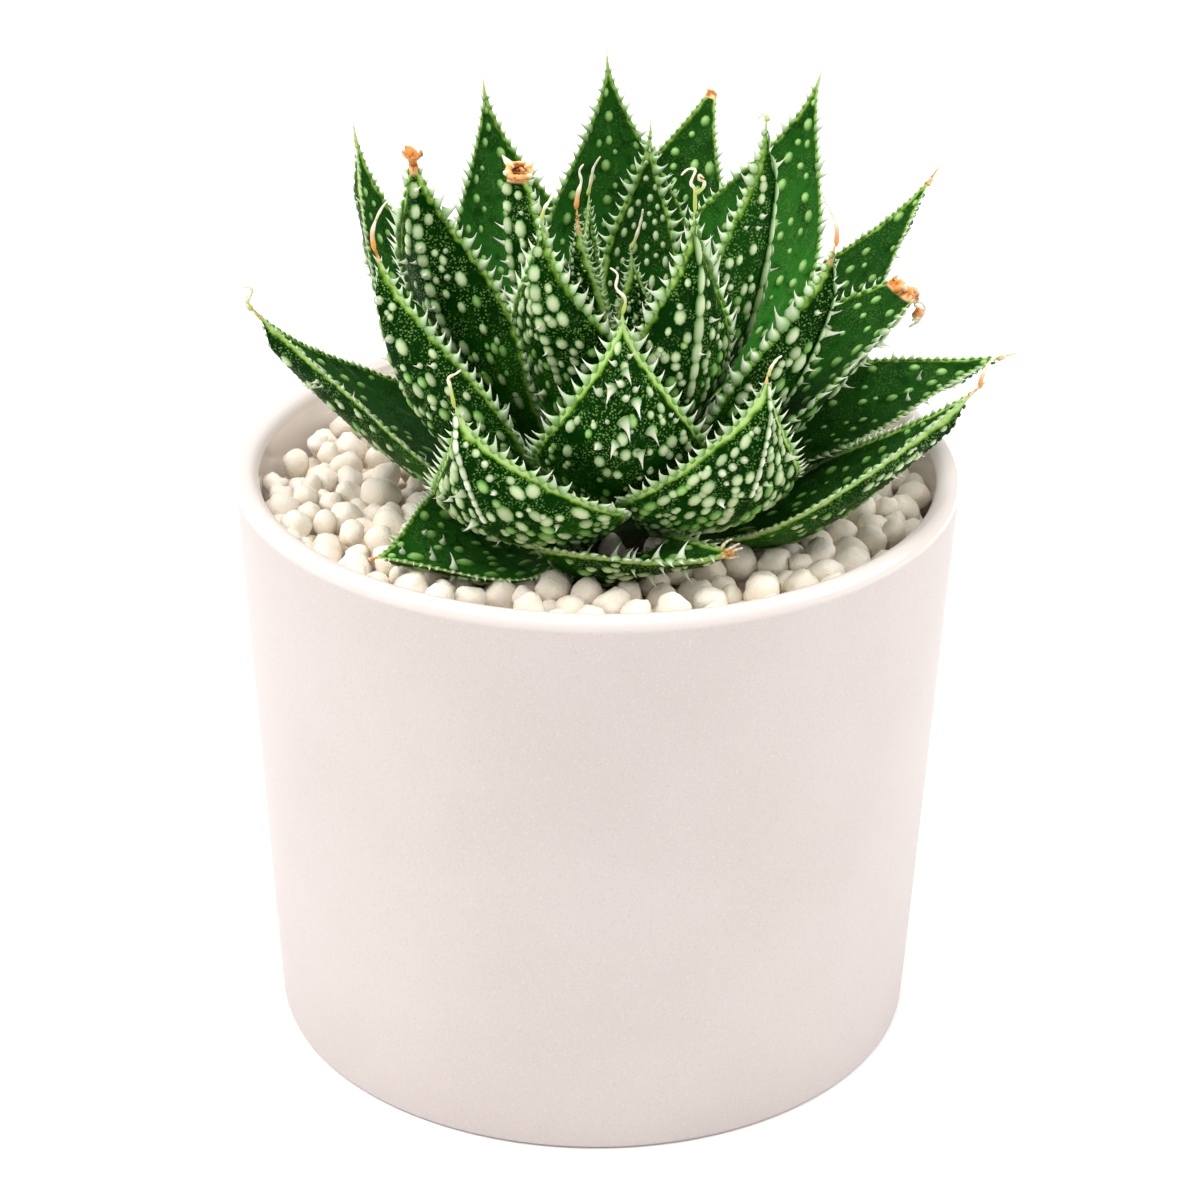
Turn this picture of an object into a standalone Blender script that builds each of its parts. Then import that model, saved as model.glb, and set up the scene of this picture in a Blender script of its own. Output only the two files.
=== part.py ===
# Potted aloe: a spotted, spiny rosette in a slightly tapered ceramic pot, dressed with white pebbles.
# Metres, +Z up. The origin is the middle of the pot's foot. The camera side of the pot is -Y.

import math
import random

import bmesh
import bpy
from mathutils import Vector
from mathutils.bvhtree import BVHTree
from mathutils.geometry import delaunay_2d_cdt

MM = 0.001

# Pot
RIM_RADIUS = 60 * MM
FOOT_RADIUS = 55 * MM
POT_HEIGHT = 100 * MM
WALL = 4 * MM
FLOOR = 6 * MM
RIM_ROUND = 1.6 * MM
FOOT_ROUND = 0.8 * MM
INNER_ROUND = 5 * MM
POT_SIDES = 48
SHARP_ANGLE = 35

# Filling
GAP = 0.3 * MM
SOIL_TOP = 86.2 * MM
BED_TOP = 89.2 * MM
BED_HOLE = 15 * MM
HOLE_SIDES = 20
PEBBLE_SPACING = 6.2 * MM
RING_SPACING = 5.58 * MM
PEBBLE_RADIUS = (2.7 * MM, 3.2 * MM)
LEAST_PEBBLE = 1.6 * MM
PEBBLE_RISE = (4.8 * MM, 6.0 * MM)
PEBBLE_JITTER = 0.13
# Rings of corners round each pebble: share of its radius, share of its rise, and how many
PEBBLE_RINGS = ((0.70, 0.74, 5), (1.02, 0.0, 4))
# Share of a neighbour's radius that the upper and the lower ring stay out of
PEBBLE_APART = (0.8, 1.0)
EDGE_MARGIN = 0.4 * MM
PEBBLE_SEED = 4

# Stem: a tapering root, a short cone that carries the leaves, and a dome on top
STEM_X = 3.5 * MM
STEM_Y = -10 * MM
COLLAR_HEIGHT = 89 * MM
COLLAR_RADIUS = 12.5 * MM
DOME_HEIGHT = 112 * MM
DOME_RADIUS = 6.5 * MM
ROOT_END = 42 * MM
ROOT_RADIUS = 3 * MM
SEAT_REACH = 12 * MM
SEAT_HALVINGS = 30
STEM_SIDES = 16

# Leaves
STATIONS = 9
LAST_RING = 0.935
# Handles of the middle line, as a share of the straight distance from stem to tip
HANDLE_SHARE = 0.42
SPINE_STEP = 0.01
# Outline: widest at this share of the length, this wide at the stem, and the powers of both curves
WIDEST_AT = 0.42
BASE_SHARE = 0.25
BASE_POWER = 1.4
TIP_POWER = 1.55
# Thickness: the share at the stem, how fast it grows from there, how much it loses by the tip
BLADE_THICKNESS = 4.6 * MM
LEAST_THICKNESS = 0.7 * MM
MOST_THICKNESS_SHARE = 1.1
STEM_SHARE = 0.45
THICKENING = 1.6
THINNING = 0.5
# Cross-section: hollow of the inner face, how round the outer face is, how late it grows a keel
CUP = 0.24
ROUND_POWER = 0.8
KEEL_POWER = 1.5
SMALL_LEAF = 12 * MM
SMALL_SCALE = 0.65
# Where the leaf stops, for each kind of tip
ENDS_AT = {"point": 1, "thread": 1, "nipped": 0.94, "torn": 0.83}
# Teeth and warts: first gap between stations that has them, and a tooth's lean across, inward, along
FIRST_GAP = 2
TOOTH_LENGTH = 2.1 * MM
TOOTH_HALF_BASE = 0.8 * MM
TOOTH_LEAN = (0.85, 0.2, 0.45)
BUMP_HALF_LENGTH = 1.0 * MM
BUMP_HALF_WIDTH = 0.75 * MM
BUMP_HEIGHT = 0.7 * MM
# Bending clear of the leaves outside: the gap kept, one step of bending, and the most per station
CLEAR = 0.35 * MM
BEND_STEP = 0.25 * MM
STEEPEST_BEND = 1.8 * MM
MOST_STEPS = 60

# Each leaf, in millimetres and degrees: name, azimuth at the stem and at the tip (0 is +X, 90 is the
# back), reach of the tip from the stem's axis, height of the tip, slope at the stem and at the tip,
# width, height of its seat on the stem, roll about its own length, and how its tip ends.
# The outermost leaves come first, because each leaf is then bent clear of those before it.
LEAVES = [
    ("leaf_low_1", 217, 216, 48, 99.5, 8, 4, 26, 91.6, -26, "point"),
    ("leaf_low_2", 258, 300, 34.5, 102, 7, 8, 24, 91.6, 22, "nipped"),
    ("leaf_low_3", 337, 347, 58.5, 124, 14, 42, 26, 92.5, 4, "thread"),
    ("leaf_low_4", 19, 17, 69, 115.5, 24, 12, 24, 95.0, 12, "point"),
    ("leaf_low_5", 172, 178, 59.5, 129.8, 20, 52, 32, 94.0, 20, "point"),
    ("leaf_low_6", 76, 74, 56, 108, 14, 12, 20, 92.0, 0, "point"),
    ("leaf_low_7", 122, 124, 52, 110, 14, 16, 20, 92.0, 0, "point"),
    ("leaf_mid_1", 241, 232, 41, 128, 8, 90, 33, 94.5, 12, "thread"),
    ("leaf_mid_2", 302, 308, 36, 132, 12, 94, 30, 94.0, -14, "thread"),
    ("leaf_mid_3", 271, 270, 28, 141, 30, 94, 28, 96.5, 0, "thread"),
    ("leaf_mid_4", 39, 37, 67, 141, 28, 50, 23, 98.0, 0, "point"),
    ("leaf_mid_5", 0, 8, 46.5, 131.5, 38, 36, 29, 99.0, 8, "torn"),
    ("leaf_mid_6", 204, 197, 40, 145.5, 32, 80, 27, 99.5, 30, "thread"),
    ("leaf_mid_7", 154, 150, 50.5, 152, 32, 78, 23.5, 99.0, 0, "point"),
    ("leaf_mid_8", 184, 190, 33, 156.5, 52, 84, 21, 104.5, 78, "nipped"),
    ("leaf_high_1", 128, 124, 41, 157.5, 44, 76, 29, 103.0, 0, "point"),
    ("leaf_high_2", 92, 97, 22, 166, 62, 84, 25, 108.5, 0, "point"),
    ("leaf_high_3", 80, 71.5, 48, 151.7, 34, 56, 29, 100.0, 0, "nipped"),
    ("leaf_high_4", 42, 45, 46, 160, 50, 66, 28, 105.0, 20, "point"),
    ("leaf_high_5", 338, 340, 35, 147, 40, 78, 22.5, 104.0, -20, "thread"),
    ("leaf_high_6", 338, 346, 22.5, 165, 60, 90, 21, 109.0, -22, "thread"),
    ("leaf_inner_1", 238, 238, 23, 153.5, 50, 90, 22, 106.0, 0, "thread"),
    ("leaf_inner_2", 298, 295, 25, 156, 52, 88, 19, 107.0, 0, "thread"),
    ("leaf_inner_3", 208, 205, 17.5, 156, 64, 88, 15, 110.5, 0, "torn"),
    ("leaf_inner_4", 74, 75, 17, 156, 72, 84, 13, 113.5, 0, "point"),
    ("leaf_heart_1", 232, 230, 11, 151, 78, 88, 9, 114.5, 0, "thread"),
    ("leaf_heart_2", 160, 150, 6, 149, 84, 88, 8, 115.5, 0, "thread"),
    ("leaf_heart_3", 300, 285, 5, 143, 84, 92, 8, 115.0, 0, "thread"),
    ("leaf_heart_4", 10, 20, 9, 134, 80, 86, 8, 115.0, 0, "point"),
]


def principled(name, colour, roughness):
    """A plain dielectric surface of this colour."""
    material = bpy.data.materials.new(name)
    material.use_nodes = True
    shader = material.node_tree.nodes["Principled BSDF"]
    shader.inputs["Base Color"].default_value = (*colour, 1)
    shader.inputs["Roughness"].default_value = roughness
    shader.inputs["Metallic"].default_value = 0
    return material


def add_object(name, mesh, material):
    obj = bpy.data.objects.new(name, mesh)
    bpy.context.scene.collection.objects.link(obj)
    if material:
        mesh.materials.append(material)
    return obj


def finish(name, bm, material):
    """Writes a bmesh into a new object, smooth but for its sharper edges."""
    bmesh.ops.recalc_face_normals(bm, faces=bm.faces)
    mesh = bpy.data.meshes.new(name)
    bm.to_mesh(mesh)
    bm.free()
    mesh.shade_smooth()
    mesh.set_sharp_from_angle(angle=math.radians(SHARP_ANGLE))
    return add_object(name, mesh, material)


def arc(centre_r, centre_z, radius, start, end, steps):
    """Points of a round corner in the (radius, height) plane, between two angles in degrees."""
    turn = [math.radians(start + (end - start) * i / steps) for i in range(steps + 1)]
    return [(centre_r + radius * math.cos(a), centre_z + radius * math.sin(a)) for a in turn]


def circle(bm, radius, height, sides, centre=(0, 0)):
    """One level ring of vertices, or a single vertex where the radius is nothing."""
    if radius < 1e-6:
        return [bm.verts.new((centre[0], centre[1], height))]
    turns = [2 * math.pi * j / sides for j in range(sides)]
    return [
        bm.verts.new((centre[0] + radius * math.cos(a), centre[1] + radius * math.sin(a), height))
        for a in turns
    ]


def skin(bm, low, high, sides):
    """Faces between two rings, either of which may be a single vertex."""
    for j in range(sides):
        k = (j + 1) % sides
        corners = [low[j % len(low)], low[k % len(low)], high[k % len(high)], high[j % len(high)]]
        bm.faces.new(list(dict.fromkeys(corners)))


def lathe(name, profile, sides, material, centre=(0, 0)):
    """Turns a closed (radius, height) profile about a vertical axis into one closed solid."""
    bm = bmesh.new()
    rings = [circle(bm, radius, height, sides, centre) for radius, height in profile]
    for low, high in zip(rings, rings[1:]):
        skin(bm, low, high, sides)
    return finish(name, bm, material)


def outer_radius(height):
    return FOOT_RADIUS + (RIM_RADIUS - FOOT_RADIUS) * height / POT_HEIGHT


def inner_radius(height):
    return outer_radius(height) - WALL


def make_pot(material):
    """One wall of even thickness on a flat floor, with a rounded lip."""
    profile = [(0, 0)]
    profile += arc(FOOT_RADIUS - FOOT_ROUND, FOOT_ROUND, FOOT_ROUND, -90, 0, 2)
    profile += arc(RIM_RADIUS - RIM_ROUND, POT_HEIGHT - RIM_ROUND, RIM_ROUND, 0, 90, 2)
    lip_inside = inner_radius(POT_HEIGHT) + RIM_ROUND
    profile += arc(lip_inside, POT_HEIGHT - RIM_ROUND, RIM_ROUND, 90, 180, 2)
    corner = inner_radius(FLOOR + INNER_ROUND) - INNER_ROUND
    profile += arc(corner, FLOOR + INNER_ROUND, INNER_ROUND, 0, -90, 2)
    profile += [(0, FLOOR)]
    return lathe("pot", profile, POT_SIDES, material)


def stem_profile(extra=0.0):
    """Root, collar, cone and dome as (radius, height) points, grown by extra on every side."""
    crown = arc(0, DOME_HEIGHT, DOME_RADIUS + extra, 0, 90, 4)
    crown[-1] = (0, crown[-1][1])
    return [
        (0, ROOT_END - extra),
        (ROOT_RADIUS + extra, ROOT_END - extra),
        (COLLAR_RADIUS + extra, COLLAR_HEIGHT),
        *crown,
    ]


def make_soil(material):
    """Fills the pot below the pebbles, with a plain hole where the root stands."""
    corner = inner_radius(FLOOR + INNER_ROUND) - INNER_ROUND
    profile = [(0, FLOOR + GAP)]
    profile += arc(corner - GAP, FLOOR + INNER_ROUND + GAP, INNER_ROUND, -90, 0, 2)
    profile += [(inner_radius(SOIL_TOP) - GAP, SOIL_TOP), (0, SOIL_TOP)]
    soil = lathe("soil", profile, POT_SIDES, material)
    hole_shape = stem_profile(GAP)
    cutter = lathe("root_hole_cutter", hole_shape, STEM_SIDES, None, (STEM_X, STEM_Y))
    cut = soil.modifiers.new("cut", "BOOLEAN")
    cut.operation = "DIFFERENCE"
    cut.solver = "EXACT"
    cut.object = cutter
    cutter.hide_render = True
    cutter.display_type = "WIRE"
    return soil


def stem_radius(height):
    """Radius of the stem's cone at a height, and of its dome above that."""
    if height > DOME_HEIGHT:
        return math.sqrt(max(0.0, DOME_RADIUS ** 2 - (height - DOME_HEIGHT) ** 2))
    share = (height - COLLAR_HEIGHT) / (DOME_HEIGHT - COLLAR_HEIGHT)
    return COLLAR_RADIUS + (DOME_RADIUS - COLLAR_RADIUS) * share


def stem_distance(point):
    """Distance from the stem's surface, positive outside."""
    out = math.hypot(point.x - STEM_X, point.y - STEM_Y)
    if point.z > DOME_HEIGHT:
        return math.hypot(out, point.z - DOME_HEIGHT) - DOME_RADIUS
    slant = math.atan2(COLLAR_RADIUS - DOME_RADIUS, DOME_HEIGHT - COLLAR_HEIGHT)
    return (out - stem_radius(point.z)) * math.cos(slant)


def seated(point, along):
    """Slides a point along the leaf until it lies one gap off the stem."""
    near, far = -SEAT_REACH, SEAT_REACH
    for _ in range(SEAT_HALVINGS):
        middle = (near + far) / 2
        if stem_distance(point + along * middle) < GAP:
            near = middle
        else:
            far = middle
    return point + along * far


# Corners of a leaf's cross-section: place across it from -1 to 1, and whether on the outer face
RING = [(1, 0), (0.5, 0), (0, 0), (-0.5, 0), (-1, 0), (-0.5, 1), (0, 1), (0.5, 1)]
SMALL_RING = [(1, 0), (0, 0), (-1, 0), (-0.45, 1), (0.45, 1)]


class Leaf:
    """The smooth surface of one leaf, from which its faceted solid is drawn.

    s runs from 0 at the stem to 1 at the tip, u from -1 to 1 between the two margins.
    """

    def __init__(self, row):
        (self.name, azimuth, tip_azimuth, reach, height, slope, tip_slope,
         width, seat, roll, tip_kind) = row
        self.half_width = width * MM / 2
        self.small = width * MM < SMALL_LEAF
        self.scale = SMALL_SCALE if self.small else 1
        self.ends_at = ENDS_AT[tip_kind]
        self.azimuths = (math.radians(azimuth), math.radians(tip_azimuth))
        self.roll = math.radians(roll)
        start = Vector((stem_radius(seat * MM), seat * MM))
        end = Vector((reach * MM, height * MM))
        handle = HANDLE_SHARE * (end - start).length
        slopes = (math.radians(slope), math.radians(tip_slope))
        self.controls = [
            start,
            start + handle * Vector((math.cos(slopes[0]), math.sin(slopes[0]))),
            end - handle * Vector((math.cos(slopes[1]), math.sin(slopes[1]))),
            end,
        ]
        last = 1 if self.ends_at < 1 else LAST_RING
        self.stations = [last * i / (STATIONS - 1) for i in range(STATIONS)]
        self.shifts = [0.0] * STATIONS

    def spine(self, s):
        """Point on the leaf's middle line: a cubic in a vertical plane that swings round the stem."""
        a, b, c, d = self.controls
        flat = a * (1 - s) ** 3 + b * 3 * s * (1 - s) ** 2 + c * 3 * s * s * (1 - s) + d * s ** 3
        turn = self.azimuths[0] + (self.azimuths[1] - self.azimuths[0]) * s * s
        return Vector((STEM_X + flat.x * math.cos(turn), STEM_Y + flat.x * math.sin(turn), flat.y))

    def frame(self, s):
        """Directions along the leaf, across it, and out of its inner face."""
        ahead, behind = min(1, s + SPINE_STEP), max(0, s - SPINE_STEP)
        along = (self.spine(ahead) - self.spine(behind)).normalized()
        turn = self.azimuths[0] + (self.azimuths[1] - self.azimuths[0]) * s * s
        level = Vector((-math.sin(turn), math.cos(turn), 0))
        across = (level - along * level.dot(along)).normalized()
        inward = along.cross(across)
        roll = self.roll * s
        return (
            along,
            across * math.cos(roll) + inward * math.sin(roll),
            inward * math.cos(roll) - across * math.sin(roll),
        )

    def half_width_at(self, s):
        s = s * self.ends_at
        if s < WIDEST_AT:
            rise = math.sin(math.pi / 2 * s / WIDEST_AT) ** BASE_POWER
            share = BASE_SHARE + (1 - BASE_SHARE) * rise
        else:
            share = math.cos(math.pi / 2 * (s - WIDEST_AT) / (1 - WIDEST_AT)) ** TIP_POWER
        return self.half_width * share

    def thickness_at(self, s):
        share = min(1, STEM_SHARE + THICKENING * s) * (1 - THINNING * s)
        most = MOST_THICKNESS_SHARE * self.half_width_at(s)
        return max(LEAST_THICKNESS, min(BLADE_THICKNESS * self.scale * share, most))

    def shift_at(self, s):
        place = min(s / self.stations[-1], 1) * (STATIONS - 1)
        i = min(int(place), STATIONS - 2)
        return self.shifts[i] + (self.shifts[i + 1] - self.shifts[i]) * (place - i)

    def point(self, s, u, outer, grow=0.0):
        """Point of the inner face, or of the outer face, which is rounder low down and keeled above."""
        along, across, inward = self.frame(s)
        half = self.half_width_at(s)
        lift = CUP * half * u * u
        if outer:
            keel = s ** KEEL_POWER
            swell = (1 - keel) * (1 - u * u) ** ROUND_POWER + keel * (1 - abs(u))
            lift -= self.thickness_at(s) * swell + grow
        elif abs(u) < 1:
            lift += grow
        return self.spine(s) + across * u * (half + grow) + inward * (lift + self.shift_at(s))

    def ring(self, i, grow=0.0):
        """Corners of the cross-section at one station, kept off the stem."""
        s = self.stations[i]
        shape = SMALL_RING if self.small else RING
        corners = [self.point(s, u, outer, grow) for u, outer in shape]
        along = self.frame(s)[0]
        return [
            seated(corner, along) if i == 0 or stem_distance(corner) < GAP else corner
            for corner in corners
        ]

    def bend_clear(self, tree):
        """Bends the leaf inward, where it would cross the leaves outside it, until it clears them."""
        count = len(SMALL_RING if self.small else RING)
        for _ in range(MOST_STEPS):
            hits = BVHTree.FromPolygons(*leaf_faces(self, CLEAR)).overlap(tree)
            if not hits:
                return
            struck = {min(own // count, STATIONS - 2) for own, _ in hits}
            for i in struck:
                self.shifts[i] += BEND_STEP
                self.shifts[i + 1] += BEND_STEP
            for i in list(range(1, STATIONS)) + list(range(STATIONS - 1))[::-1]:
                beside = i - 1 if i > 0 else 1
                self.shifts[i] = max(self.shifts[i], self.shifts[beside] - STEEPEST_BEND)


def too_near(place, tree):
    """Whether a place lies inside a leaf or within the clearance of its surface."""
    nearest, normal, _, distance = tree.find_nearest(place)
    return distance < CLEAR or ((place - nearest).dot(normal) < 0 and distance < BLADE_THICKNESS)


def leaf_faces(leaf, grow=0.0):
    """The plain leaf without teeth, as points and faces, or one grown by this much on all sides."""
    rings = [leaf.ring(i, grow) for i in range(STATIONS)]
    count = len(rings[0])
    points = [p for ring in rings for p in ring]
    faces = []
    for i in range(STATIONS - 1):
        for j in range(count):
            k = (j + 1) % count
            faces.append([i * count + j, i * count + k, (i + 1) * count + k, (i + 1) * count + j])
    along = leaf.frame(0)[0]
    base = seated((leaf.point(0, 0, 0) + leaf.point(0, 0, 1)) / 2, along)
    tip = (leaf.point(1, 0, 0) + leaf.point(1, 0, 1)) / 2
    if leaf.ends_at < 1:
        tip += leaf.frame(1)[0] * LEAST_THICKNESS
    points += [base, tip]
    for j in range(count):
        k = (j + 1) % count
        faces.append([len(points) - 2, k, j])
        faces.append([(STATIONS - 1) * count + j, (STATIONS - 1) * count + k, len(points) - 1])
    return points, faces


def clear_of(places, trees):
    """Whether every place lies clear of all these surfaces."""
    return not any(too_near(place, tree) for tree in trees for place in places)


def tooth_points(leaf, s, margin, upper, lower):
    """Tip and four feet of a spine standing out of one margin edge."""
    along, across, inward = leaf.frame(s)
    foot = leaf.point(s, margin, 0)
    lean = TOOTH_LEAN
    out = (across * margin * lean[0] + inward * lean[1] + along * lean[2]).normalized()
    half = TOOTH_HALF_BASE * leaf.scale
    return [
        foot + out * TOOTH_LENGTH * leaf.scale,
        foot - along * half,
        foot + along * half,
        foot + (upper - foot).normalized() * half,
        foot + (lower - foot).normalized() * half,
    ]


def bump_points(corners):
    """Top and four feet of a low wart in the middle of a face."""
    a, b, c, d = corners
    middle = (a + b + c + d) / 4
    lengthwise = ((c + d) - (a + b)).normalized()
    sideways = ((b + c) - (a + d)).normalized()
    outward = sideways.cross(lengthwise).normalized()
    feet = [
        middle + lengthwise * x * BUMP_HALF_LENGTH + sideways * y * BUMP_HALF_WIDTH
        for x, y in ((-1, -1), (-1, 1), (1, 1), (1, -1))
    ]
    return [middle + outward * BUMP_HEIGHT, *feet]


def build_leaf(leaf, others, material):
    """The leaf's solid, with its margin teeth and warts wherever they stay clear of other leaves."""
    bm = bmesh.new()
    shape = SMALL_RING if leaf.small else RING
    count = len(shape)
    points, faces = leaf_faces(leaf)
    verts = [bm.verts.new(p) for p in points]
    for face in faces[(STATIONS - 1) * count:]:
        bm.faces.new([verts[n] for n in face])
    for i in range(STATIONS - 1):
        low, high = verts[i * count:(i + 1) * count], verts[(i + 1) * count:(i + 2) * count]
        middle = (leaf.stations[i] + leaf.stations[i + 1]) / 2
        warty = i >= FIRST_GAP and not leaf.small
        teeth = {}
        for j in range(count):
            margin = shape[j][0]
            if i < FIRST_GAP or abs(margin) < 1:
                continue
            sides = [(low[n].co + high[n].co) / 2 for n in ((j - 1) % count, (j + 1) % count)]
            upper, lower = sides if margin < 0 else sides[::-1]
            places = tooth_points(leaf, middle, margin, upper, lower)
            if clear_of(places[:1], others):
                teeth[j] = [bm.verts.new(p) for p in places]
        for j in range(count):
            k = (j + 1) % count
            corners = [low[j], low[k], high[k], high[j]]
            wart = bump_points([v.co for v in corners])
            if k in teeth:
                tip, back, front, above, below = teeth[k]
                flank = above if shape[k][0] < 0 else below
                bm.faces.new((back, tip, flank))
                bm.faces.new((flank, tip, front))
                bm.faces.new((low[j], low[k], back, flank))
                bm.faces.new((low[j], flank, high[j]))
                bm.faces.new((flank, front, high[k], high[j]))
            elif j in teeth:
                tip, back, front, above, below = teeth[j]
                flank = below if shape[j][0] < 0 else above
                bm.faces.new((front, tip, flank))
                bm.faces.new((flank, tip, back))
                bm.faces.new((low[k], flank, back, low[j]))
                bm.faces.new((low[k], high[k], flank))
                bm.faces.new((flank, high[k], high[j], front))
            elif warty and (i + j) % 2 == 0 and clear_of(wart[:1], others):
                top, *feet = [bm.verts.new(p) for p in wart]
                for n in range(4):
                    m = (n + 1) % 4
                    bm.faces.new((corners[n], corners[m], feet[m], feet[n]))
                    bm.faces.new((feet[n], feet[m], top))
            else:
                bm.faces.new(corners)
    mesh = bpy.data.meshes.new(leaf.name)
    bm.to_mesh(mesh)
    bm.free()
    return add_object(leaf.name, mesh, material)


def make_leaves(material):
    """Bends every leaf clear of those outside it, then draws each with its teeth and warts."""
    leaves = [Leaf(row) for row in LEAVES]
    placed = []
    points, faces = [], []
    for leaf in leaves:
        if points:
            leaf.bend_clear(BVHTree.FromPolygons(points, faces))
        own_points, own_faces = leaf_faces(leaf)
        placed.append(BVHTree.FromPolygons(own_points, own_faces))
        faces += [[n + len(points) for n in face] for face in own_faces]
        points += own_points
    for n, leaf in enumerate(leaves):
        obj = build_leaf(leaf, placed[:n] + placed[n + 1:], material)
        bm = bmesh.new()
        bm.from_mesh(obj.data)
        placed[n] = BVHTree.FromBMesh(bm)
        bm.free()
    return placed


def pebble_places(trees):
    """Centres, radii and rises of the pebbles: jittered rings in the pot, kept off the leaves."""
    draw = random.Random(PEBBLE_SEED)
    places = []
    edge = inner_radius(BED_TOP) - GAP
    ring = edge - PEBBLE_RADIUS[1]
    while ring > PEBBLE_SPACING:
        number = round(2 * math.pi * ring / PEBBLE_SPACING)
        start = draw.random()
        for n in range(number):
            turn = 2 * math.pi * (n + start + draw.uniform(-PEBBLE_JITTER, PEBBLE_JITTER)) / number
            radius = draw.uniform(*PEBBLE_RADIUS)
            rise = draw.uniform(*PEBBLE_RISE)
            centre = Vector((ring * math.cos(turn), ring * math.sin(turn)))
            from_stem = (centre - Vector((STEM_X, STEM_Y))).length
            if from_stem < BED_HOLE + radius:
                continue
            body = centre.to_3d() + Vector((0, 0, BED_TOP + rise / 2))
            room = min(tree.find_nearest(body)[3] for tree in trees) - GAP
            if room < LEAST_PEBBLE:
                continue
            share = min(1, room / radius)
            top = centre.to_3d() + Vector((0, 0, BED_TOP + rise * share))
            if clear_of((top, body), trees):
                places.append((centre, radius * share, rise * share))
        ring -= RING_SPACING
    return places


def make_pebbles(material, trees):
    """One bed of pebbles: a flat ring whose top is drawn up into a rounded, five-sided pebble each."""
    draw = random.Random(PEBBLE_SEED)
    bm = bmesh.new()
    bottom = SOIL_TOP + GAP
    stem = (STEM_X, STEM_Y)
    outer_low = circle(bm, inner_radius(bottom) - GAP, bottom, POT_SIDES)
    outer_high = circle(bm, inner_radius(BED_TOP) - GAP, BED_TOP, POT_SIDES)
    inner_low = circle(bm, BED_HOLE, bottom, HOLE_SIDES, stem)
    inner_high = circle(bm, BED_HOLE, BED_TOP, HOLE_SIDES, stem)
    skin(bm, outer_low, outer_high, POT_SIDES)
    skin(bm, inner_low, inner_high, HOLE_SIDES)
    cover(bm, outer_low, inner_low, [], [])
    places = pebble_places(trees)
    tops = []
    for number, (centre, radius, rise) in enumerate(places):
        tops.append(bm.verts.new((*centre, BED_TOP + rise)))
        start = draw.uniform(0, 2 * math.pi)
        for share, height, corners in PEBBLE_RINGS:
            for corner in range(corners):
                turn = start + 2 * math.pi * corner / corners
                spot = centre + Vector((math.cos(turn), math.sin(turn))) * radius * share
                if keeps(spot, number, places, PEBBLE_APART[height == 0]):
                    tops.append(bm.verts.new((*spot, BED_TOP + rise * height)))
    cover(bm, outer_high, inner_high, tops, places)
    return finish("pebbles", bm, material)


def keeps(spot, number, places, apart):
    """Whether a corner of a pebble lies inside the bed and outside every other pebble."""
    if spot.length > inner_radius(BED_TOP) - GAP - EDGE_MARGIN:
        return False
    if (spot - Vector((STEM_X, STEM_Y))).length < BED_HOLE + EDGE_MARGIN:
        return False
    for other, (centre, radius, _) in enumerate(places):
        if other != number and (spot - centre).length < radius * apart:
            return False
    return True


def cover(bm, outer, inner, tops, places):
    """Triangles between the pot's ring and the ring round the stem, through the points between."""
    verts = outer + inner + tops
    flat = [v.co.to_2d() for v in verts]
    loops = [(n, (n + 1) % len(outer)) for n in range(len(outer))]
    loops += [(len(outer) + n, len(outer) + (n + 1) % len(inner)) for n in range(len(inner))]
    result = delaunay_2d_cdt(flat, loops, [], 1, 1e-6)
    spots, triangles, sources = result[0], result[2], result[3]
    real = [verts[source[0]] for source in sources]
    stem = Vector((STEM_X, STEM_Y))
    for triangle in triangles:
        middle = sum((spots[n] for n in triangle), Vector((0, 0))) / len(triangle)
        if (middle - stem).length > BED_HOLE * math.cos(math.pi / HOLE_SIDES):
            bm.faces.new([real[n] for n in triangle])


def main():
    for obj in list(bpy.data.objects):
        bpy.data.objects.remove(obj)
    glaze = principled("glaze", (0.86, 0.80, 0.78), 0.35)
    earth = principled("earth", (0.05, 0.035, 0.025), 0.95)
    stone = principled("stone", (0.86, 0.81, 0.72), 0.7)
    stalk = principled("stalk", (0.20, 0.24, 0.08), 0.6)
    flesh = principled("flesh", (0.03, 0.16, 0.03), 0.4)
    make_pot(glaze)
    make_soil(earth)
    lathe("stem", stem_profile(), STEM_SIDES, stalk, (STEM_X, STEM_Y))
    trees = make_leaves(flesh)
    make_pebbles(stone, trees)


main()
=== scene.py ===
# %% [markdown]
# # A small spotted aloe in a blush white pot
#
# This lesson dresses a plain CAD model of a potted aloe until it looks like the real plant. The CAD model
# is loaded as a fixed frame, and every piece made here sits where the frame says. The pot, the bed of
# pebbles and each leaf are pieces of their own, and all of them ride on the one body, "root".

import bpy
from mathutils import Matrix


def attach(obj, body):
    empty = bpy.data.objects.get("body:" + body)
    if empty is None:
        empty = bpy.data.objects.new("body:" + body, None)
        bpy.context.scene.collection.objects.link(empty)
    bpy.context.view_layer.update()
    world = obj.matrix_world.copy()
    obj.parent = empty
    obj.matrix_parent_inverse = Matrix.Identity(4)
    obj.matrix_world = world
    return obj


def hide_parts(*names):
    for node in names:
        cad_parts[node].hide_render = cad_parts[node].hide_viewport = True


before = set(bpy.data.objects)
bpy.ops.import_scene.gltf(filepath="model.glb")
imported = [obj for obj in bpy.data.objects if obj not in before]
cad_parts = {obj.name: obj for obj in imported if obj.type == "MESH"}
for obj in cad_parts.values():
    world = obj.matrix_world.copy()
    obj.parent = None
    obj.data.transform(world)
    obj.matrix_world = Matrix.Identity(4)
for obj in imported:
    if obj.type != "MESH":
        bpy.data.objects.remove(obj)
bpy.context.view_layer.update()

# %% Modules and units
import math
import random

import bmesh
import bpy
import numpy as np
from mathutils import Quaternion, Vector, noise
from mathutils.bvhtree import BVHTree

MM = 0.001
scene = bpy.context.scene

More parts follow.
